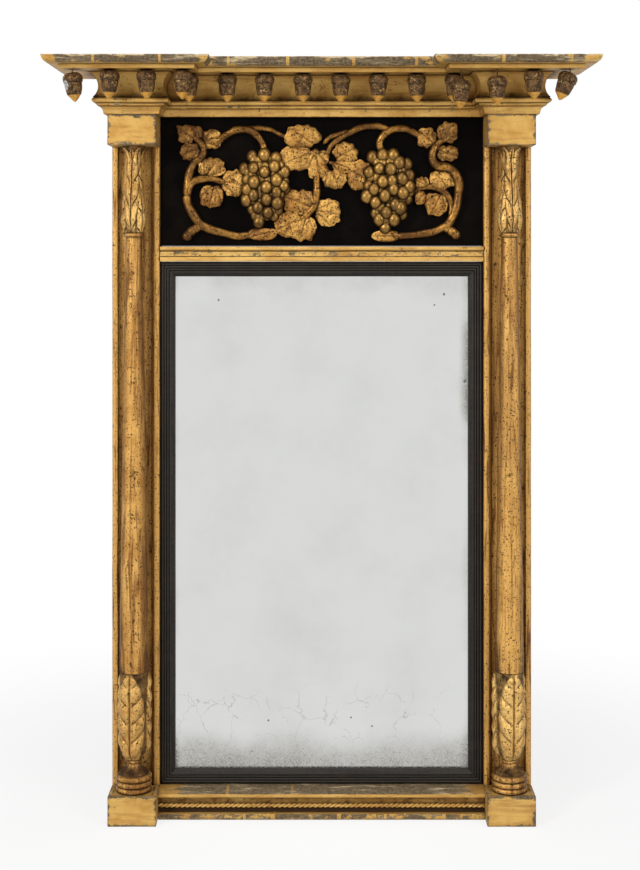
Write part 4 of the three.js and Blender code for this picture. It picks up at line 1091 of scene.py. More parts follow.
def collar(axis, foot, height, core, leaves, relief, rows, around, turn, leaf_shade_depth):
    share = np.linspace(0, 1, rows)[:, None]
    angle = np.linspace(-math.pi, math.pi, around, endpoint=False)[None, :]
    base = np.interp(share, [s for s, _ in core], [r for _, r in core])
    radius = base + 0 * angle
    covered, leaf_shade = np.zeros_like(radius), np.zeros_like(radius)
    for heading, half_width, low, high, lift, lobes in leaves:
        away = np.mod(angle - math.radians(heading + turn) + math.pi, 2 * math.pi) - math.pi
        across = away * base / half_width
        local = (share - low) / (high - low)
        on_leaf, form, dirt_and_shade = leaf_relief(across, np.clip(local, 0, 1), lobes)
        inside = on_leaf * (1 / (1 + np.exp(-local * 60))) * (1 / (1 + np.exp((local - 1.0) * 60)))
        raised = base + inside * form * lift * relief
        higher = raised > radius + 0.3
        covered = np.where(higher, inside, covered)
        leaf_shade = np.where(higher, dirt_and_shade, leaf_shade)
        radius = np.maximum(radius, raised)
    rings = np.stack([axis[0] + radius * np.sin(angle), axis[1] - radius * np.cos(angle),
                      foot + 0.3 + (height - 0.6) * share + 0 * angle], -1)
    points, faces = skin(rings)
    bare = 1 - covered.reshape(-1)
    # The ground between the leaves and the folds and rims of the leaves get painted shade.
    dark = bare * 0.56 + (1 - bare) * leaf_shade.reshape(-1) * leaf_shade_depth
    marks = {"dark": dark, "red": bare * 0.9, "fresh_and_highlight": (1 - bare) * (0.8 - leaf_shade_depth)}
    return (wavy(points, 0.35, 9, turn), faces), marks


LOWER_CORE = [(0, 11.0), (0.03, 12.0), (0.07, 15.5), (0.14, 17.6), (0.5, 18.2), (0.93, 18.6), (1, 19.2)]
LOWER_LEAVES = [(0, 21.5, 0.02, 0.97, 1.0, 4.6), (103, 8, 0.05, 0.97, 1.1, 5.2),
                (180, 18, 0.03, 0.96, 1.0, 5.2),
                (-103, 8, 0.05, 0.97, 1.1, 5.2)]
UPPER_CORE = [(0, 11.6), (0.05, 13.0), (0.14, 14.8), (0.28, 14.2), (0.5, 10.4), (0.74, 6.9), (0.86, 6.9),
              (0.93, 9.6),
              (0.975, 14.5), (1, 16.6)]
UPPER_LEAVES = [(0, 9.5, 0.04, 0.95, 1.15, 3.4), (64, 9.5, 0.0, 0.52, 0.8, 2.2),
                (-64, 9.5, 0.0, 0.52, 0.8, 2.2),
                (112, 9, 0.0, 0.9, 0.8, 3.2), (-112, 9, 0.0, 0.9, 0.8, 3.2), (180, 12, 0, 0.5, 0.8, 2.2),
                (45, 5, 0.70, 0.99, 1.1, 1.0), (-45, 5, 0.70, 0.99, 1.1, 1.0), (135, 5, 0.70, 0.99, 1.1, 1.0),
                (-135, 5, 0.70, 0.99, 1.1, 1.0)]
for word, side in SIDES:
    axis = (side * COLUMN_X, COLUMN_Y)
    for node, core, leaves, relief, turn, leaf_shade_depth in (
            ("lower_leaf", LOWER_CORE, LOWER_LEAVES, 4.0, 12, 0.56),
            ("upper_leaf", UPPER_CORE, UPPER_LEAVES, 3.0, 10, 0.95)):
        low, high = mm(f"column_{node}_{word}")
        foot, tall = low[2] - 0.3, high[2] - low[2] + 0.6
        shape, marks = collar(axis, foot, tall, core, leaves, relief, 170, 150, turn * side, leaf_shade_depth)
        piece(f"carved_{node}_{word}", shape, COLLAR, f"column_{node}_{word}", slot="bronzed_gilt_wood",
              marks=marks, crease=70)
print("leaf collars 4")

# %% [markdown]
# ## Reeded slip
# Between the gilt case and the glass lies a black slip of four mitred lengths: a dark gap, three fine reeds
# and a flat band that slopes down to the glass. It is the same moulding tool as the cornice.

# %% Slip
SLIP_BACK, SLIP_FACE = 20.0, 29.0
reeds = [p for i in range(3) for p in bow((1.6 + (i + 0.5) * 3.7, SLIP_FACE - 2.6), 1.72, 2.1, 176, 4, 8)]
slip_outline = [(0, SLIP_BACK), (0, SLIP_FACE - 2.8), *reeds, (13.1, SLIP_FACE - 2.6), (13.5, SLIP_FACE - 0.3),
                (14.6, SLIP_FACE - 0.1), (19.4, SLIP_FACE - 3.6), (20.6, SLIP_FACE - 4.4), (20.6, SLIP_BACK)]
slip_outline = soften(slip_outline, 0.35, 2)
slip_foot, slip_top = GLASS_LOW[2], GLASS_HIGH[2]
slip_half = OPENING - 0.3


def slip_piece(name, node, side, start_of, end_of, place, low, high, seed):
    points, faces = moulding(slip_outline, np.arange(low, high, 9.0), start_of, end_of, place)[0]
    piece(name, on_side(side, (wavy(points, 0.12, 60, seed), faces)), EBONISED, node, slot="black_wood")


for word, side in SIDES:
    slip_piece(f"reeded_slip_{word}", f"slip_{word}", side, lambda inwards: slip_foot + inwards + MITRE,
               lambda inwards: slip_top - inwards - MITRE, lambda inwards, depth,
               z: (slip_half - inwards, -depth, z),
               slip_foot + 6, slip_top - 5, 41 + side)
for name, node, edge, way in (("reeded_slip_low", "slip_bottom", slip_foot, 1),
                              ("reeded_slip_high", "slip_top", slip_top, -1)):
    slip_piece(name, node, 1, lambda inwards: -slip_half + inwards + MITRE,
               lambda inwards: slip_half - inwards - MITRE,
               lambda inwards, depth, x, edge=edge, way=way: (x, -depth, edge + way * inwards),
               -slip_half + 6, slip_half - 5, 45 + way)
print("slip", round(slip_top - slip_foot), "mm high")

# %% [markdown]
# ## Sheets and boards
# The glass, its backboard, the frieze's panel, the top rail and the dust board are plain flat sheets. Their
# solids already have the right shape, so they stay and only receive their finish.

# %% Sheets keep their solids
for node, finish in (("mirror_plate", GLASS), ("frieze_panel", LACQUER), ("plate_backboard", PINE),
                     ("top_rail", PINE), ("cornice_top_board", PINE)):
    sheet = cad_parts[node]
    sheet.data.materials.clear()
    sheet.data.materials.append(finish)
print("sheets finished 5")

# %% [markdown]
# ## Acorns
# Sixteen turned acorns hang from the soffit on wires: a domed cup, a nut that narrows downward and a sharp
# gilded point. No two are worn alike, so each is spun with its own seed of unevenness. Three hang loose and
# swing on their wires; these have exactly the tilt of their solids. A fourth hangs askew on a stiff bent wire.

# %% Acorn profile
ACORN_LENGTH = 40.0
acorn_shape = [(0, -40), (0.9, -39.7), (2.2, -38.6), (4.2, -36.4), (6.2, -33.9), (7.7, -31.9), (8.6, -30.8),
               (9.2, -30.1),
               (9.9, -28.4), (10.7, -25.0), (11.3, -21.0), (11.7, -17.0), (11.7, -15.0), (11.5, -14.2),
               (12.2, -14.0),
               (13.0, -13.2), (13.2, -11.1), (13.5, -9.4), (13.4, -7.2), (12.6, -4.9), (11.0, -2.9),
               (8.6, -1.3),
               (5.4, -0.5), (2.2, -0.15), (0, 0)]
fine_profile = []
for (r0, z0), (r1, z1) in zip(acorn_shape[:-1], acorn_shape[1:]):
    for t in np.linspace(0, 1, 3)[:-1]:
        fine_profile.append((r0 + (r1 - r0) * t, z0 + (z1 - z0) * t))
fine_profile.append(acorn_shape[-1])
print("acorn points", len(fine_profile))


# %% Acorn helpers
def tube(path, radius, around=10, rounded=True):
    path = np.asarray(path, float)
    tangents = np.gradient(path, axis=0)
    tangents /= np.linalg.norm(tangents, axis=1, keepdims=True)
    side = np.cross(tangents[0], (0, 1, 0.01))
    radii = np.broadcast_to(np.asarray(radius, float), (len(path),)).copy()
    if rounded:
        radii[[0, -1]] *= 0.55
    rings = []
    for point, tangent, r in zip(path, tangents, radii):
        side = side - tangent * np.dot(side, tangent)
        side /= np.linalg.norm(side)
        other = np.cross(tangent, side)
        angles = np.linspace(0, 2 * math.pi, around, endpoint=False)
        rings.append(point + r * (np.cos(angles)[:, None] * side + np.sin(angles)[:, None] * other))
    return skin(rings)


def curve_through(points, steps):
    """A smooth curve through points, as a chain of Catmull-Rom arcs."""
    points = np.asarray(points, float)
    padded = np.vstack([2 * points[0] - points[1], points, 2 * points[-1] - points[-2]])
    made = []
    for i in range(len(points) - 1):
        a, b, c, d = padded[i:i + 4]
        for t in np.linspace(0, 1, steps, endpoint=False):
            made.append(0.5 * (2 * b + (c - a) * t + (2 * a - 5 * b + 4 * c - d) * t * t
                               + (3 * b - a - 3 * c + d) * t ** 3))
    made.append(points[-1])
    return np.array(made)


def acorn_body(at, tilt, seed):
    points, faces = spun(fine_profile, (0, 0), 0, 40, seed=seed, waves=0.0)
    points = wavy(points, 0.45, 9, seed * 3.7)
    points[:, 2] = np.clip(points[:, 2], -ACORN_LENGTH, 0)
    tip = np.clip((-30.0 - points[:, 2]) / 1.2, 0, 1)
    lean = math.radians(tilt)
    x, z = points[:, 0].copy(), points[:, 2].copy()
    points[:, 0] = x * math.cos(lean) - z * math.sin(lean)
    points[:, 2] = z * math.cos(lean) + x * math.sin(lean)
    return (points + at, faces), tip


# %% Hang the acorns
SOFFIT = CORNICE_FOOT + 56.7
HANGING = {"acorn_left_4": (4, 6.5, "loose_acorn_left_corner"),
           "acorn_right_1": (13, -3, "loose_acorn_right_inner"),
           "acorn_right_2": (8, 0, "loose_acorn_right_second"), "acorn_right_4": (4, -21.5, BODY)}
CENTRE_OF_NUT = 16.62
WIRE = 0.75


def hole_of(node):
    if node.startswith("acorn_centre"):
        return (int(node[-1]) - 4.5) * 52.0, -(CARCASE + 40)
    side = -1 if "left" in node else 1
    inner, outer = OPENING - 40, WIDTH + 40
    return side * (inner + (outer - inner) * (int(node[-1]) - 1) / 3), -(BLOCK + 40)


acorn_nodes = sorted(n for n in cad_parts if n.startswith("acorn"))
for seed, node in enumerate(acorn_nodes):
    x, y = hole_of(node)
    drop, tilt, body = HANGING.get(node, (0.3, 1.6 * math.sin(seed * 2.3), BODY))
    lean = math.radians(tilt)
    aside = -CENTRE_OF_NUT * math.sin(lean) if body != BODY else 0.0
    body_shape, tip = acorn_body(np.array([x + aside, y, SOFFIT - drop]), tilt, seed + 1)
    if node in HANGING:
        into = [x + aside + 3 * math.sin(lean), y, SOFFIT - drop - 3 * math.cos(lean)]
        path = curve_through([[x, y, SOFFIT + 1.4], [x, y, SOFFIT], [x + aside, y, SOFFIT - drop], into], 6)
        wire = tube(path, WIRE, 8)
    elif node == "acorn_right_3":
        top = CORNICE_TOP
        path = curve_through([[x, y, SOFFIT - 4], [x, y, SOFFIT + 8], [x, y, top + 0.6],
                              [x - 0.5, y, top + 2.0],
                              [x - 2.4, y, top + 2.2]], 6)
        wire = tube(path, WIRE, 8)
    else:
        wire = tube([[x, y, SOFFIT - 3], [x, y, SOFFIT + 1], [x, y, SOFFIT + 5.6]], 1.1, 8)
    shape = merged(body_shape, wire)
    marks = {"tip": np.concatenate([tip, np.zeros(len(wire[0]))])}
    if node == "acorn_left_4":
        patch = np.linalg.norm((shape[0] - (x - 9, y - 7, SOFFIT - 22)) / (6, 12, 9), axis=1)
        marks["silver"] = np.clip(1.5 - patch, 0, 1)
    piece(f"hung_{node}", shape, ACORN, node, slot="worn_bronze_wood", body=body, marks=marks)
print("acorns", len(acorn_nodes))

# %% [markdown]
# ## The carved vine
# The frieze carries a grapevine sawn and carved from thin wood and planted on the black ground: two scrolling
# stems, leaves of two or three lobes, and two bunches. It is drawn flat in millimetres from the middle of
# the frieze. Stems follow paths, so Geometry Nodes sweep a round section along them, thick and thin by a
# radius kept on each point.

# %% Stem tree
def stem_tree():
    tree, start, end = new_tree("stems",
                                [("Sides", "NodeSocketInt", 18), ("Finish", "NodeSocketMaterial", None)])
    curve = node_in(tree, "GeometryNodeMeshToCurve", {"Mesh": start.outputs["Geometry"]})
    section = node_in(tree, "GeometryNodeCurvePrimitiveCircle", {"Resolution": start.outputs["Sides"]},
                      {"Radius": 1.0})
    swept = node_in(tree, "GeometryNodeCurveToMesh", {
        "Curve": curve.outputs[0], "Profile Curve": section.outputs[0], "Scale": point_value(tree, "thick")},
        {"Fill Caps": True})
    return finished(tree, start, end, swept.outputs[0])


STEM_TREE = stem_tree()
PANEL_FACE = -mm("frieze_panel")[0][1]
FRIEZE_LOW, FRIEZE_HIGH = mm("frieze_panel")
FRIEZE_MID = (FRIEZE_LOW[2] + FRIEZE_HIGH[2]) / 2


def on_panel(points):
    """From the drawing's x, up and height off the panel to the mirror's own millimetres."""
    points = np.asarray(points, float)
    return np.stack([points[:, 0], -PANEL_FACE - points[:, 2], FRIEZE_MID + points[:, 1]], 1)


def shade_below(points, low=1.0, high=6.0):
    """Painted shade on whatever lies close to the panel, from its height off the panel."""
    off_panel = -points[:, 1] - PANEL_FACE
    return np.clip((high - off_panel) / (high - low), 0, 1) * 0.75


def swept_stems(stems, seed):
    verts, edges, thick = [], [], []
    for number, (radii, path) in enumerate(stems):
        flat = curve_through(path, 7)
        share = np.linspace(0, 1, len(flat))
        size = np.interp(share, np.linspace(0, 1, len(radii)), radii)
        size *= 1 + 0.05 * np.sin(share * 23 + number * 2 + seed)
        ends = np.minimum(1, np.sqrt(np.clip(np.minimum(share, 1 - share) * len(flat) / 2.2 + 0.08, 0, 1)))
        size = size * ends
        start = len(verts)
        for (x, up), r in zip(flat, size):
            verts.append((x, up, r * 0.9 + 0.4))
            thick.append(r / 1000)
        edges += [(i, i + 1) for i in range(start, len(verts) - 1)]
    mesh = bpy.data.meshes.new("stem_paths")
    mesh.from_pydata([tuple(p) for p in np.array(verts) / 1000], edges, [])
    write_mark(mesh, "thick", thick)
    points, faces = grown(mesh, STEM_TREE, {"Sides": 18, "Finish": STALK})
    points = wavy(points, 0.45, 12, seed)
    points[:, 2] = np.maximum(points[:, 2], 0.3)
    return on_panel(points), faces


print("stem tree ready, frieze middle at", round(FRIEZE_MID, 1))

# %% [markdown]
# ## Leaves
# A lobe of a vine leaf is a shallow dome with a scalloped, toothed edge. Its veins fan out from the point
# where it joins the stalk, each one a narrow groove, and the edge is undercut so that it throws a shadow on
# the black. Every lobe is a fan of rings around its middle, its height worked out point by point.

# %% Leaf lobes
LEAF_GROWTH = 1.06


def leaf_lobe(x, up, half_x, half_up, root_x, root_up, teeth=7, seed=0, pointed=0.0):
    half_x, half_up = half_x * LEAF_GROWTH, half_up * LEAF_GROWTH
    around, rings = 84, 13
    heading = math.atan2(up - root_up, x - root_x)
    angle = np.linspace(0, 2 * math.pi, around, endpoint=False)
    away = np.mod(angle - heading + math.pi, 2 * math.pi) - math.pi
    oval = (np.abs(np.cos(angle) / half_x) ** 2.5 + np.abs(np.sin(angle) / half_up) ** 2.5) ** (-1 / 2.5)
    turns = away * teeth / (2 * math.pi) + seed
    tooth = 1 - np.abs(2 * np.mod(turns + 0.08 * np.sin(5 * away + seed), 1)
                       - 1) ** 0.8 if teeth else np.full(around, 0.45)
    ragged = drift(np.cos(angle) * 2.2 + seed, np.sin(angle) * 2.2, seed * 1.7)
    fade = np.clip((math.pi - np.abs(away)) / 0.9, 0, 1)
    bite = 0.06 + 0.12 * np.clip(np.sin(away * 1.5 + seed * 2.1), 0, 1)
    edge = oval * (0.94 + fade * bite * (tooth - 0.45) + (0.15 if teeth else 0.03) * ragged)
    edge *= 1 - (0.16 if teeth else 0.0) * np.exp(-((math.pi - np.abs(away)) / 0.3) ** 2)
    edge *= 1 + pointed * np.exp(-(away / 0.28) ** 2)
    share = np.linspace(0, 1, rings + 1)[1:] ** 0.85
    px = x + share[:, None] * edge * np.cos(angle)
    pu = up + share[:, None] * edge * np.sin(angle)

    def height(qx, qu, s):
        dx, du = qx - root_x, qu - root_up
        turn = np.mod(np.arctan2(du, dx) - heading + math.pi, 2 * math.pi) - math.pi
        far = np.hypot(dx, du)
        fan = np.abs(np.mod(turn / 0.62 + 0.5, 1) - 0.5)
        groove = np.exp(-(far * np.sin(fan * 0.62) / 1.1) ** 2)
        groove = groove * np.clip(far / 8, 0, 1) * np.clip(1.2 - s, 0, 1)
        swell = np.sin(np.pi * fan) ** 0.8
        lump = drift(qx / 9, qu / 9, seed)
        curl = 1.3 * np.clip((s - 0.72) / 0.28, 0, 1) ** 2 * np.sin(turn * 3 + seed)
        dome = 5.0 + 5.2 * (1 - s ** 2) ** 0.8
        return dome + 1.7 * swell * (0.2 + 0.8 * s) - groove + 2.2 * lump + curl

    levels = np.broadcast_to(share[:, None], px.shape)
    top = height(px, pu, levels)
    rows = [np.stack([px[i], pu[i], top[i]], 1) for i in range(rings)]
    for scale, drop in ((0.985, 1.3), (0.93, 2.6), (0.80, 3.6)):
        rows.append(np.stack([x + scale * edge * np.cos(angle), up + scale * edge * np.sin(angle),
                              np.maximum(top[-1] - drop, 0.6)], 1))
    rows.append(np.stack([x + 0.74 * edge * np.cos(angle), up + 0.74 * edge * np.sin(angle),
                          np.full(around, 0.35)], 1))
    middle = np.array([[x, up, float(height(np.array([x]), np.array([up]), np.array([0.0]))[0])]])
    points = np.vstack([middle, *rows])
    faces = [[0, 1 + i, 1 + (i + 1) % around] for i in range(around)]
    for r in range(len(rows) - 1):
        a = 1 + r * around
        faces += [[a + i, a + around + i, a + around + (i + 1) % around, a + (i + 1) % around]
                  for i in range(around)]
    faces.append([1 + (len(rows) - 1) * around + i for i in range(around)])
    return on_panel(points), faces


print("one lobe has", len(leaf_lobe(0, 0, 15, 15, -15, 0)[0]), "points")

# %% The left, middle and right of the vine
LEFT_STEMS = [
    ([4.6, 5.6, 6.4, 6.6, 6.4], [(-92, -75), (-106, -76), (-119, -77), (-140, -72), (-157, -67), (-171, -59),
                                 (-180, -46), (-187, -33), (-189, -19)]),
    ([6.4, 6.0, 5.0, 4.4, 3.4], [(-189, -22), (-186, -8), (-178, 0), (-165, 3), (-153, 3), (-140, -1),
                                 (-128, -5), (-117, -7)]),
    ([5.4, 6.6, 7.0], [(-166, -63), (-175, -66), (-184, -72), (-191, -81)]),
    ([6.2, 5.8, 5.4, 4.8, 4.0], [(-188, -13), (-187, 2), (-184, 14), (-178, 26), (-169, 33), (-165, 42),
                                 (-168, 52), (-177, 60), (-185, 66)]),
    ([4.6, 5.2, 5.7, 5.7, 5.1, 4.6],
     [(-150, 50), (-143, 57), (-134, 64), (-122, 71), (-110, 72), (-98, 70), (-89, 62), (-82, 51), (-80, 39)]),
    ([4.2, 4.0, 3.4, 3.0], [(-104, 73), (-96, 74), (-84, 74), (-72, 72), (-61, 67), (-48, 61)]),
]
LEFT_LOBES = [(-188, 66, 13, 13, -174, 56, 5, 0.4, 0.30), (-172, 67, 6, 9, -170, 58, 3, 1.1, 0.2),
              (-154, 59, 13, 14, -166, 55, 7, 2.2, 0), (-184, 41, 15, 12, -172, 46, 7, 3.1, 0),
              (-154, 19, 19, 14, -164, 4, 9, 4.3, 0), (-122, -3, 18, 18, -141, 0, 9, 5.2, 0.05),
              (-154, -21, 17, 16.5, -150, -4, 8, 6.4, 0)]
LEFT_BUD = [(-84, -74.5, 20, 8.6, -105, -80, 0, 7.7, 0.16)]
CENTRE_STEMS = [([4.0, 5.0, 5.4, 5.6, 5.0], [(-5, 14), (-7, 2), (-7, -16), (-10, -33), (-17, -43), (-31, -57)]),
                ([3.0, 3.4, 2.6], [(8, 27), (30, 21), (52, 12), (68, 5)]),
                ([4.4, 3.8, 3.0], [(-12, 44), (-2, 38), (12, 34)]),
                ([3.4, 3.0], [(-12, -38), (-2, -42), (8, -44)])]
CENTRE_LOBES = [(30, 21, 15, 9, 13, 28, 6, 2.2, 0), (-26, 62, 25, 16, -5, 47, 9, 1.3, 0),
                (-35, 32, 22, 18, -12, 42, 9, 2.6, 0.05), (-6, 24, 16, 20, -8, 42, 8, 3.3, 0),
                (33, 39, 17, 15, 13, 28, 9, 4.9, 0), (53, 8, 19, 21, 14, 27, 9, 5.6, 0),
                (19, 3, 17, 15, 12, 24, 8, 6.1, 0),
                (-31, -30, 22, 18, -10, -38, 9, 7.5, 0), (-46, -60, 20, 19, -22, -48, 9, 8.2, 0),
                (-26, -66, 18, 18, -20, -46, 7, 9.4, 0),
                (9, -44, 18, 19, -9, -41, 9, 10.1, 0)]
RIGHT_STEMS = [
    ([3.6, 4.2, 4.8, 5.0, 4.4], [(7, 36), (13, 49), (27, 61), (40, 68), (55, 75), (71, 77), (83, 76),
                                 (95, 72)]),
    ([3.0, 3.6, 2.8], [(2, 52), (11, 61), (24, 66), (38, 71)]),
    ([4.8, 5.2, 5.7, 5.3, 4.2], [(84, 41), (81, 52), (84, 61), (92, 69), (104, 73), (116, 73), (127, 69),
                                 (140, 62)]),
    ([4.4, 5.0, 5.8, 6.4, 6.8, 6.6],
     [(180, 61), (169, 57), (160, 49), (155, 39), (156, 28), (163, 21), (177, 19), (187, 10), (192, -4),
      (191, -21)]),
    ([6.6, 6.0, 5.8, 5.4, 4.8], [(192, -10), (190, -28), (187, -40), (183, -50), (177, -60), (168, -66),
                                 (156, -71), (140, -74), (124, -76), (104, -77)]),
    ([4.0, 4.8, 4.6, 4.0, 3.0], [(180, -51), (182, -37), (179, -25), (172, -16), (162, -10), (149, -8),
                                 (137, -11), (126, -18)]),
    ([5.4, 6.4, 6.6], [(170, -64), (180, -69), (192, -79)])]
RIGHT_LOBES = [(147, 61, 14, 14, 160, 50, 7, 1.9, 0), (176, 68, 14, 15, 168, 53, 6, 2.8, 0.12),
               (176, 39, 16, 11, 160, 42, 7, 3.7, 0),
               (140, -3, 10, 9, 150, -9, 5, 4.4, 0), (168, 1, 18, 14, 182, -18, 8, 5.8, 0),
               (160, -32, 16, 16, 168, -15, 7, 6.7, 0),
               (138, -23, 8, 10, 150, -11, 5, 7.2, 0)]
RIGHT_BUD = [(91, -77, 18, 8.4, 112, -77, 0, 8.6, 0.20)]
for name, stems, lobes, seed in (("left", LEFT_STEMS, LEFT_LOBES + LEFT_BUD, 3),
                                 ("centre", CENTRE_STEMS, CENTRE_LOBES, 5),
                                 ("right", RIGHT_STEMS, RIGHT_LOBES + RIGHT_BUD, 8)):
    stem_points, stem_faces = swept_stems(stems, seed)
    leaves = merged(*[leaf_lobe(*lobe) for lobe in lobes])
    points, faces = merged((stem_points, stem_faces), leaves)
    corner = np.clip((np.abs(points[:, 0]) - 140) / 30, 0, 1) * np.clip((points[:, 2] - FRIEZE_MID) / 40, 0, 1)
    vine_marks = {"dark": shade_below(points), "red": 0.9 * corner}
    carving = piece(f"carved_vine_{name}", (points, faces), LEAFY, f"vine_{name}",
                    slot="gilt_wood" if name == "centre" else "bronzed_gilt_wood",
                    marks=vine_marks, crease=62)
    carving.data.materials.append(STALK)
    for face in list(carving.data.polygons)[:len(stem_faces)]:
        face.material_index = 1
    highest = max(-face.center.y * 1000 for face in carving.data.polygons) - PANEL_FACE
    print("vine", name, len(carving.data.polygons), "faces, highest", round(highest, 1), "mm")

# %% [markdown]
# ## Grapes
# A bunch is twenty-odd near-round berries in front, heaped highest in the middle. Geometry Nodes set a berry
# on every point of a small cloud; a `size` on each point makes some larger. A second, lower layer of fifty
# more fills the gaps, so that no black shows between them.

# %% Grape tree
def grape_tree():
    tree, start, end = new_tree("grapes", [
        ("Berry radius", "NodeSocketFloat", 0.0083), ("Roundness", "NodeSocketInt", 3),
        ("Finish", "NodeSocketMaterial", None)])
    berry = node_in(tree, "GeometryNodeMeshIcoSphere",
                    {"Radius": start.outputs["Berry radius"], "Subdivisions": start.outputs["Roundness"]})
    oval = node_in(tree, "GeometryNodeTransform", {"Geometry": berry.outputs[0]}, {"Scale": (0.97, 1.12, 0.95)})
    berries = node_in(tree, "GeometryNodeInstanceOnPoints", {
        "Points": start.outputs["Geometry"], "Instance": oval.outputs[0], "Scale": point_value(tree, "size")})
    return finished(tree, start, end, berries.outputs[0])


GRAPE_TREE = grape_tree()
LEFT_BERRIES = [(-97, 34), (-80, 36), (-64, 32), (-108, 17), (-95, 18), (-80, 12), (-66, 20), (-52, 12),
                (-94, -2), (-63, 1),
                (-53, -7), (-77, -9), (-63, -16), (-104, -12), (-95, -20), (-77, -26), (-105, -27), (-62, -31),
                (-89, -37),
                (-75, -44), (-88, -57)]
RIGHT_BERRIES = [(71, 33), (85, 36), (100, 36), (80, 17), (96, 16), (108, 25), (119, 23), (122, 8), (112, 3),
                 (85, -1),
                 (100, -12), (122, -8), (113, -17), (73, -12), (63, -22), (88, -21), (75, -30), (102, -33),
                 (110, -38),
                 (90, -44), (80, -54), (101, -54), (89, -65), (98, 0), (66, 12)]


def bunch(berries, centre, half, seed):
    centre, half = np.array(centre, float), np.array(half, float)
    rng = np.random.default_rng(seed)
    front = np.array(berries, float)
    lift = 1 - np.clip((((front - centre) / half) ** 2).sum(1), 0, 1)
    verts = [np.column_stack([front, 6.5 + 11.5 * np.sqrt(lift)])]
    sizes = [rng.uniform(0.98, 1.16, len(front))]
    filler = []
    for x in np.arange(-half[0], half[0] + 1, 9.0):
        for up in np.arange(-half[1], half[1] + 1, 10.0):
            at = np.array([x, up]) + rng.uniform(-2, 2, 2)
            if ((at / (half - 3)) ** 2).sum() < 1 and abs(at[0]) < half[0] * (1.0 + min(0, at[1] + 8) / 62):
                filler.append(centre + at)
    filler = np.array(filler)
    lift = 1 - np.clip((((filler - centre) / half) ** 2).sum(1), 0, 1)
    verts.append(np.column_stack([filler, 4.2 + 8.6 * np.sqrt(lift)]))
    sizes.append(rng.uniform(0.84, 0.98, len(filler)))
    mesh = bpy.data.meshes.new("berry_points")
    mesh.from_pydata([tuple(p) for p in np.vstack(verts) / 1000], [], [])
    write_mark(mesh, "size", np.concatenate(sizes))
    points, faces = grown(mesh, GRAPE_TREE, {"Berry radius": 0.0084, "Roundness": 3, "Finish": GRAPE})
    points = wavy(points, 0.5, 8, seed)
    points[:, 2] = np.maximum(points[:, 2], 0.4)
    # Berries that lie below the bunch's dome get painted shade, darkest in the gaps between the front berries.
    dome = 12.5 + 8.0 * np.sqrt(1 - np.clip((((points[:, :2] - centre) / half) ** 2).sum(1), 0, 1))
    depth = np.clip((dome - points[:, 2]) / 9, 0, 1)
    return (on_panel(points), faces), {"dark": depth * 0.75}


for word, berries, centre, half in (("left", LEFT_BERRIES, (-80, -9), (33, 50)),
                                    ("right", RIGHT_BERRIES, (93, -12), (35, 54))):
    shape, marks = bunch(berries, centre, half, 12 if word == "left" else 21)
    piece(f"grape_bunch_{word}", shape, GRAPE, f"grapes_{word}", slot="bronzed_gilt_wood", marks=marks,
          weld=0.002, crease=80)
print("berries", len(LEFT_BERRIES), len(RIGHT_BERRIES))

# %% [markdown]
# ## Hangers on the back
# Two brass straps are screwed to the stiles' backs, each with a folding ring. The strap is bent round the
# ring's straight bar; the ring is bent wire; the screw has a domed slotted head.

# %% Hangers
RING, RING_WIRE = 15, 1.6
AROUND = 28


def slotted_screw(x, z, seat_y):
    profile = [(0, -14), (0.4, -13.4), (1.7, -10.4), (1.7, 0), (4.0, 0.05), (4.0, 0.5), (3.7, 1.1), (2.7, 1.6),
               (1.2, 1.8), (0, 1.8)]
    points, faces = spun(profile, (0, 0), 0, 32, waves=0)
    slot_cut = (np.abs(points[:, 0]) < 0.45) & (points[:, 2] > 1.0)
    points[:, 2] -= slot_cut * 0.6
    return np.stack([x + points[:, 0], seat_y + points[:, 2], z + points[:, 1]], 1), faces


for word, side in SIDES:
    low, high = mm(f"hanger_strap_{word}")
    bar_y = mm(f"hanger_ring_{word}")[0][1] + RING_WIRE
    bar_z = low[2] + 3.25
    x = side * COLUMN_X
    plate = rounded_block((x - 8, 0.3, bar_z), (x + 8, 1.8, high[2]), 0.5, 1.6)
    angles = np.linspace(0, 2 * math.pi, AROUND, endpoint=False)
    knuckle = []
    for radius, ends in ((3.25, (-7, 7)), (1.97, (7, -7))):
        for end in ends:
            knuckle.append([(x + end, bar_y + radius * math.cos(a), bar_z + radius * math.sin(a)) for a in angles])
    knuckle_points, knuckle_faces = skin(knuckle, closed=False)
    last = 3 * AROUND
    knuckle_faces += [[last + i, last + (i + 1) % AROUND, (i + 1) % AROUND, i] for i in range(AROUND)]
    piece(f"brass_strap_{word}", merged(plate, (knuckle_points, knuckle_faces)), BRASS, f"hanger_strap_{word}",
          slot="brass")
    half_round = [(x + RING * math.cos(a), bar_z - 8 + RING * math.sin(a))
                  for a in np.linspace(math.pi, 2 * math.pi, AROUND)]
    loop = tube([(px, bar_y, pz) for px, pz in [(x - RING, bar_z), *half_round, (x + RING, bar_z)]], RING_WIRE,
                16)
    bar = tube([(x + away, bar_y, bar_z) for away in (-16.4, -RING, 0, RING, 16.4)], RING_WIRE, 16)
    piece(f"brass_ring_{word}", merged(loop, bar), BRASS, f"hanger_ring_{word}", slot="brass",
          body=f"hanging_ring_{word}")
    piece(f"steel_screw_{word}", slotted_screw(x, bar_z + 26, 2.1), STEEL, f"hanger_screw_{word}", slot="steel")
print("hangers 2")

# %% [markdown]
# ## Floor and light
# A pale floor carries a soft shadow and fades to white away from the mirror, for camera and reflections
# alike. Two large soft lamps stand left and right in front, a third hangs above; the room itself gives an
# even, weaker light. Colours then appear about as they were mixed.

# %% Floor
PALE, PALER = (0.86, 0.86, 0.855, 1), (0.9, 0.9, 0.895, 1)


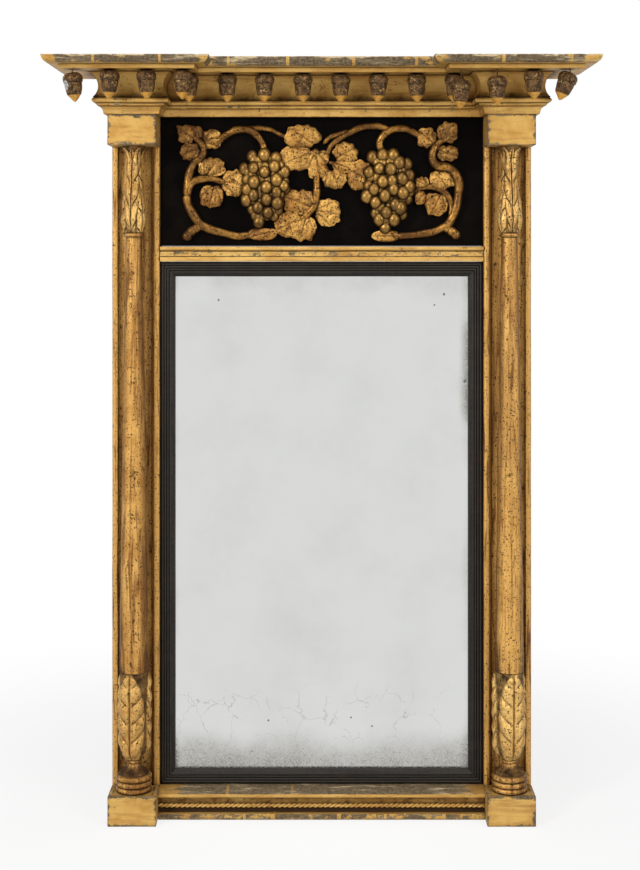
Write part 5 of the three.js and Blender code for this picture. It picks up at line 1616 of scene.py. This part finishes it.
def pale(name, near, far):
    f = Finish(name)
    tree = f.tree
    reach = f.add("ShaderNodeVectorMath", operation="LENGTH")
    tree.links.new(f.stretched((1, 1, 0)), reach.inputs[0])
    fade = f.step(reach.outputs["Value"], near, far)
    rays = f.add("ShaderNodeLightPath")
    seen = f.most(rays.outputs["Is Glossy Ray"], rays.outputs["Is Transmission Ray"])
    white_share = f.most(seen, rays.outputs["Is Camera Ray"] * f.calc("ADD", 0.8, fade * 0.2, clamp=True))
    grit = f.clouds(4, 4)
    diffuse = f.add("ShaderNodeBsdfDiffuse", {"Color": f.coat(f.step(grit, 0.3, 0.7), PALE, PALER)})
    glow = f.add("ShaderNodeEmission", {"Color": (1, 1, 1, 1), "Strength": 1.0})
    mix = f.add("ShaderNodeMixShader", {0: white_share})
    tree.links.new(diffuse.outputs[0], mix.inputs[1])
    tree.links.new(glow.outputs[0], mix.inputs[2])
    out = next(node for node in tree.nodes if node.type == "OUTPUT_MATERIAL")
    tree.links.new(mix.outputs[0], out.inputs["Surface"])
    tree.nodes.remove(f.surface)
    return f.material


FLOOR, FLOOR_GAP = 8, 0.0005
floor_mesh = bpy.data.meshes.new("floor")
corners = [(x * FLOOR, y * FLOOR, FEET - FLOOR_GAP) for x, y in ((-1, -1), (1, -1), (1, 1), (-1, 1))]
floor_mesh.from_pydata(corners, [], [(0, 1, 2, 3)])
floor_mesh.materials.append(pale("pale_floor", 0.35, 1.1))
placed("floor", floor_mesh)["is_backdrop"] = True
print("floor", 2 * FLOOR, "m square")

# %% Lamps and room
def lamp(name, place, look_at, size, power):
    data = bpy.data.lights.new(name, "AREA")
    data.shape, data.energy = "RECTANGLE", power
    data.size, data.size_y = size
    thing = placed(name, data)
    thing.location = place
    thing.rotation_euler = (Vector(look_at) - Vector(place)).to_track_quat("-Z", "Y").to_euler()


lamp("soft_left", (-1.9, -2.3, 0.7), (0, 0, -0.35), (0.8, 1.2), 52)
lamp("soft_right", (2.0, -2.2, 0.5), (0, 0, -0.4), (1.1, 1.6), 30)
lamp("soft_top", (0.0, -1.2, 1.9), (0, 0, -0.3), (1.8, 1.0), 22)
world = bpy.data.worlds.new("room")
world.use_nodes = True
room = world.node_tree
rays = room.nodes.new("ShaderNodeLightPath")
seen = rays.outputs["Is Camera Ray"]
for kind in ("Is Glossy Ray", "Is Transmission Ray"):
    either = room.nodes.new("ShaderNodeMath")
    either.operation = "MAXIMUM"
    room.links.new(seen, either.inputs[0])
    room.links.new(rays.outputs[kind], either.inputs[1])
    seen = either.outputs[0]
strength = room.nodes.new("ShaderNodeMapRange")
strength.inputs["To Min"].default_value, strength.inputs["To Max"].default_value = 0.26, 1.0
room.links.new(seen, strength.inputs["Value"])
room.links.new(strength.outputs[0], room.nodes["Background"].inputs["Strength"])
room.nodes["Background"].inputs["Color"].default_value = (1, 1, 1, 1)
bpy.context.scene.world = world
print("lamps 3")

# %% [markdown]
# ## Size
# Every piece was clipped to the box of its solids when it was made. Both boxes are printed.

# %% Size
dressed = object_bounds()
for label, pair in (("case", CASE_BOX), ("dressed", dressed)):
    print(label, [round(v * 1000, 1) for corner in pair for v in corner])
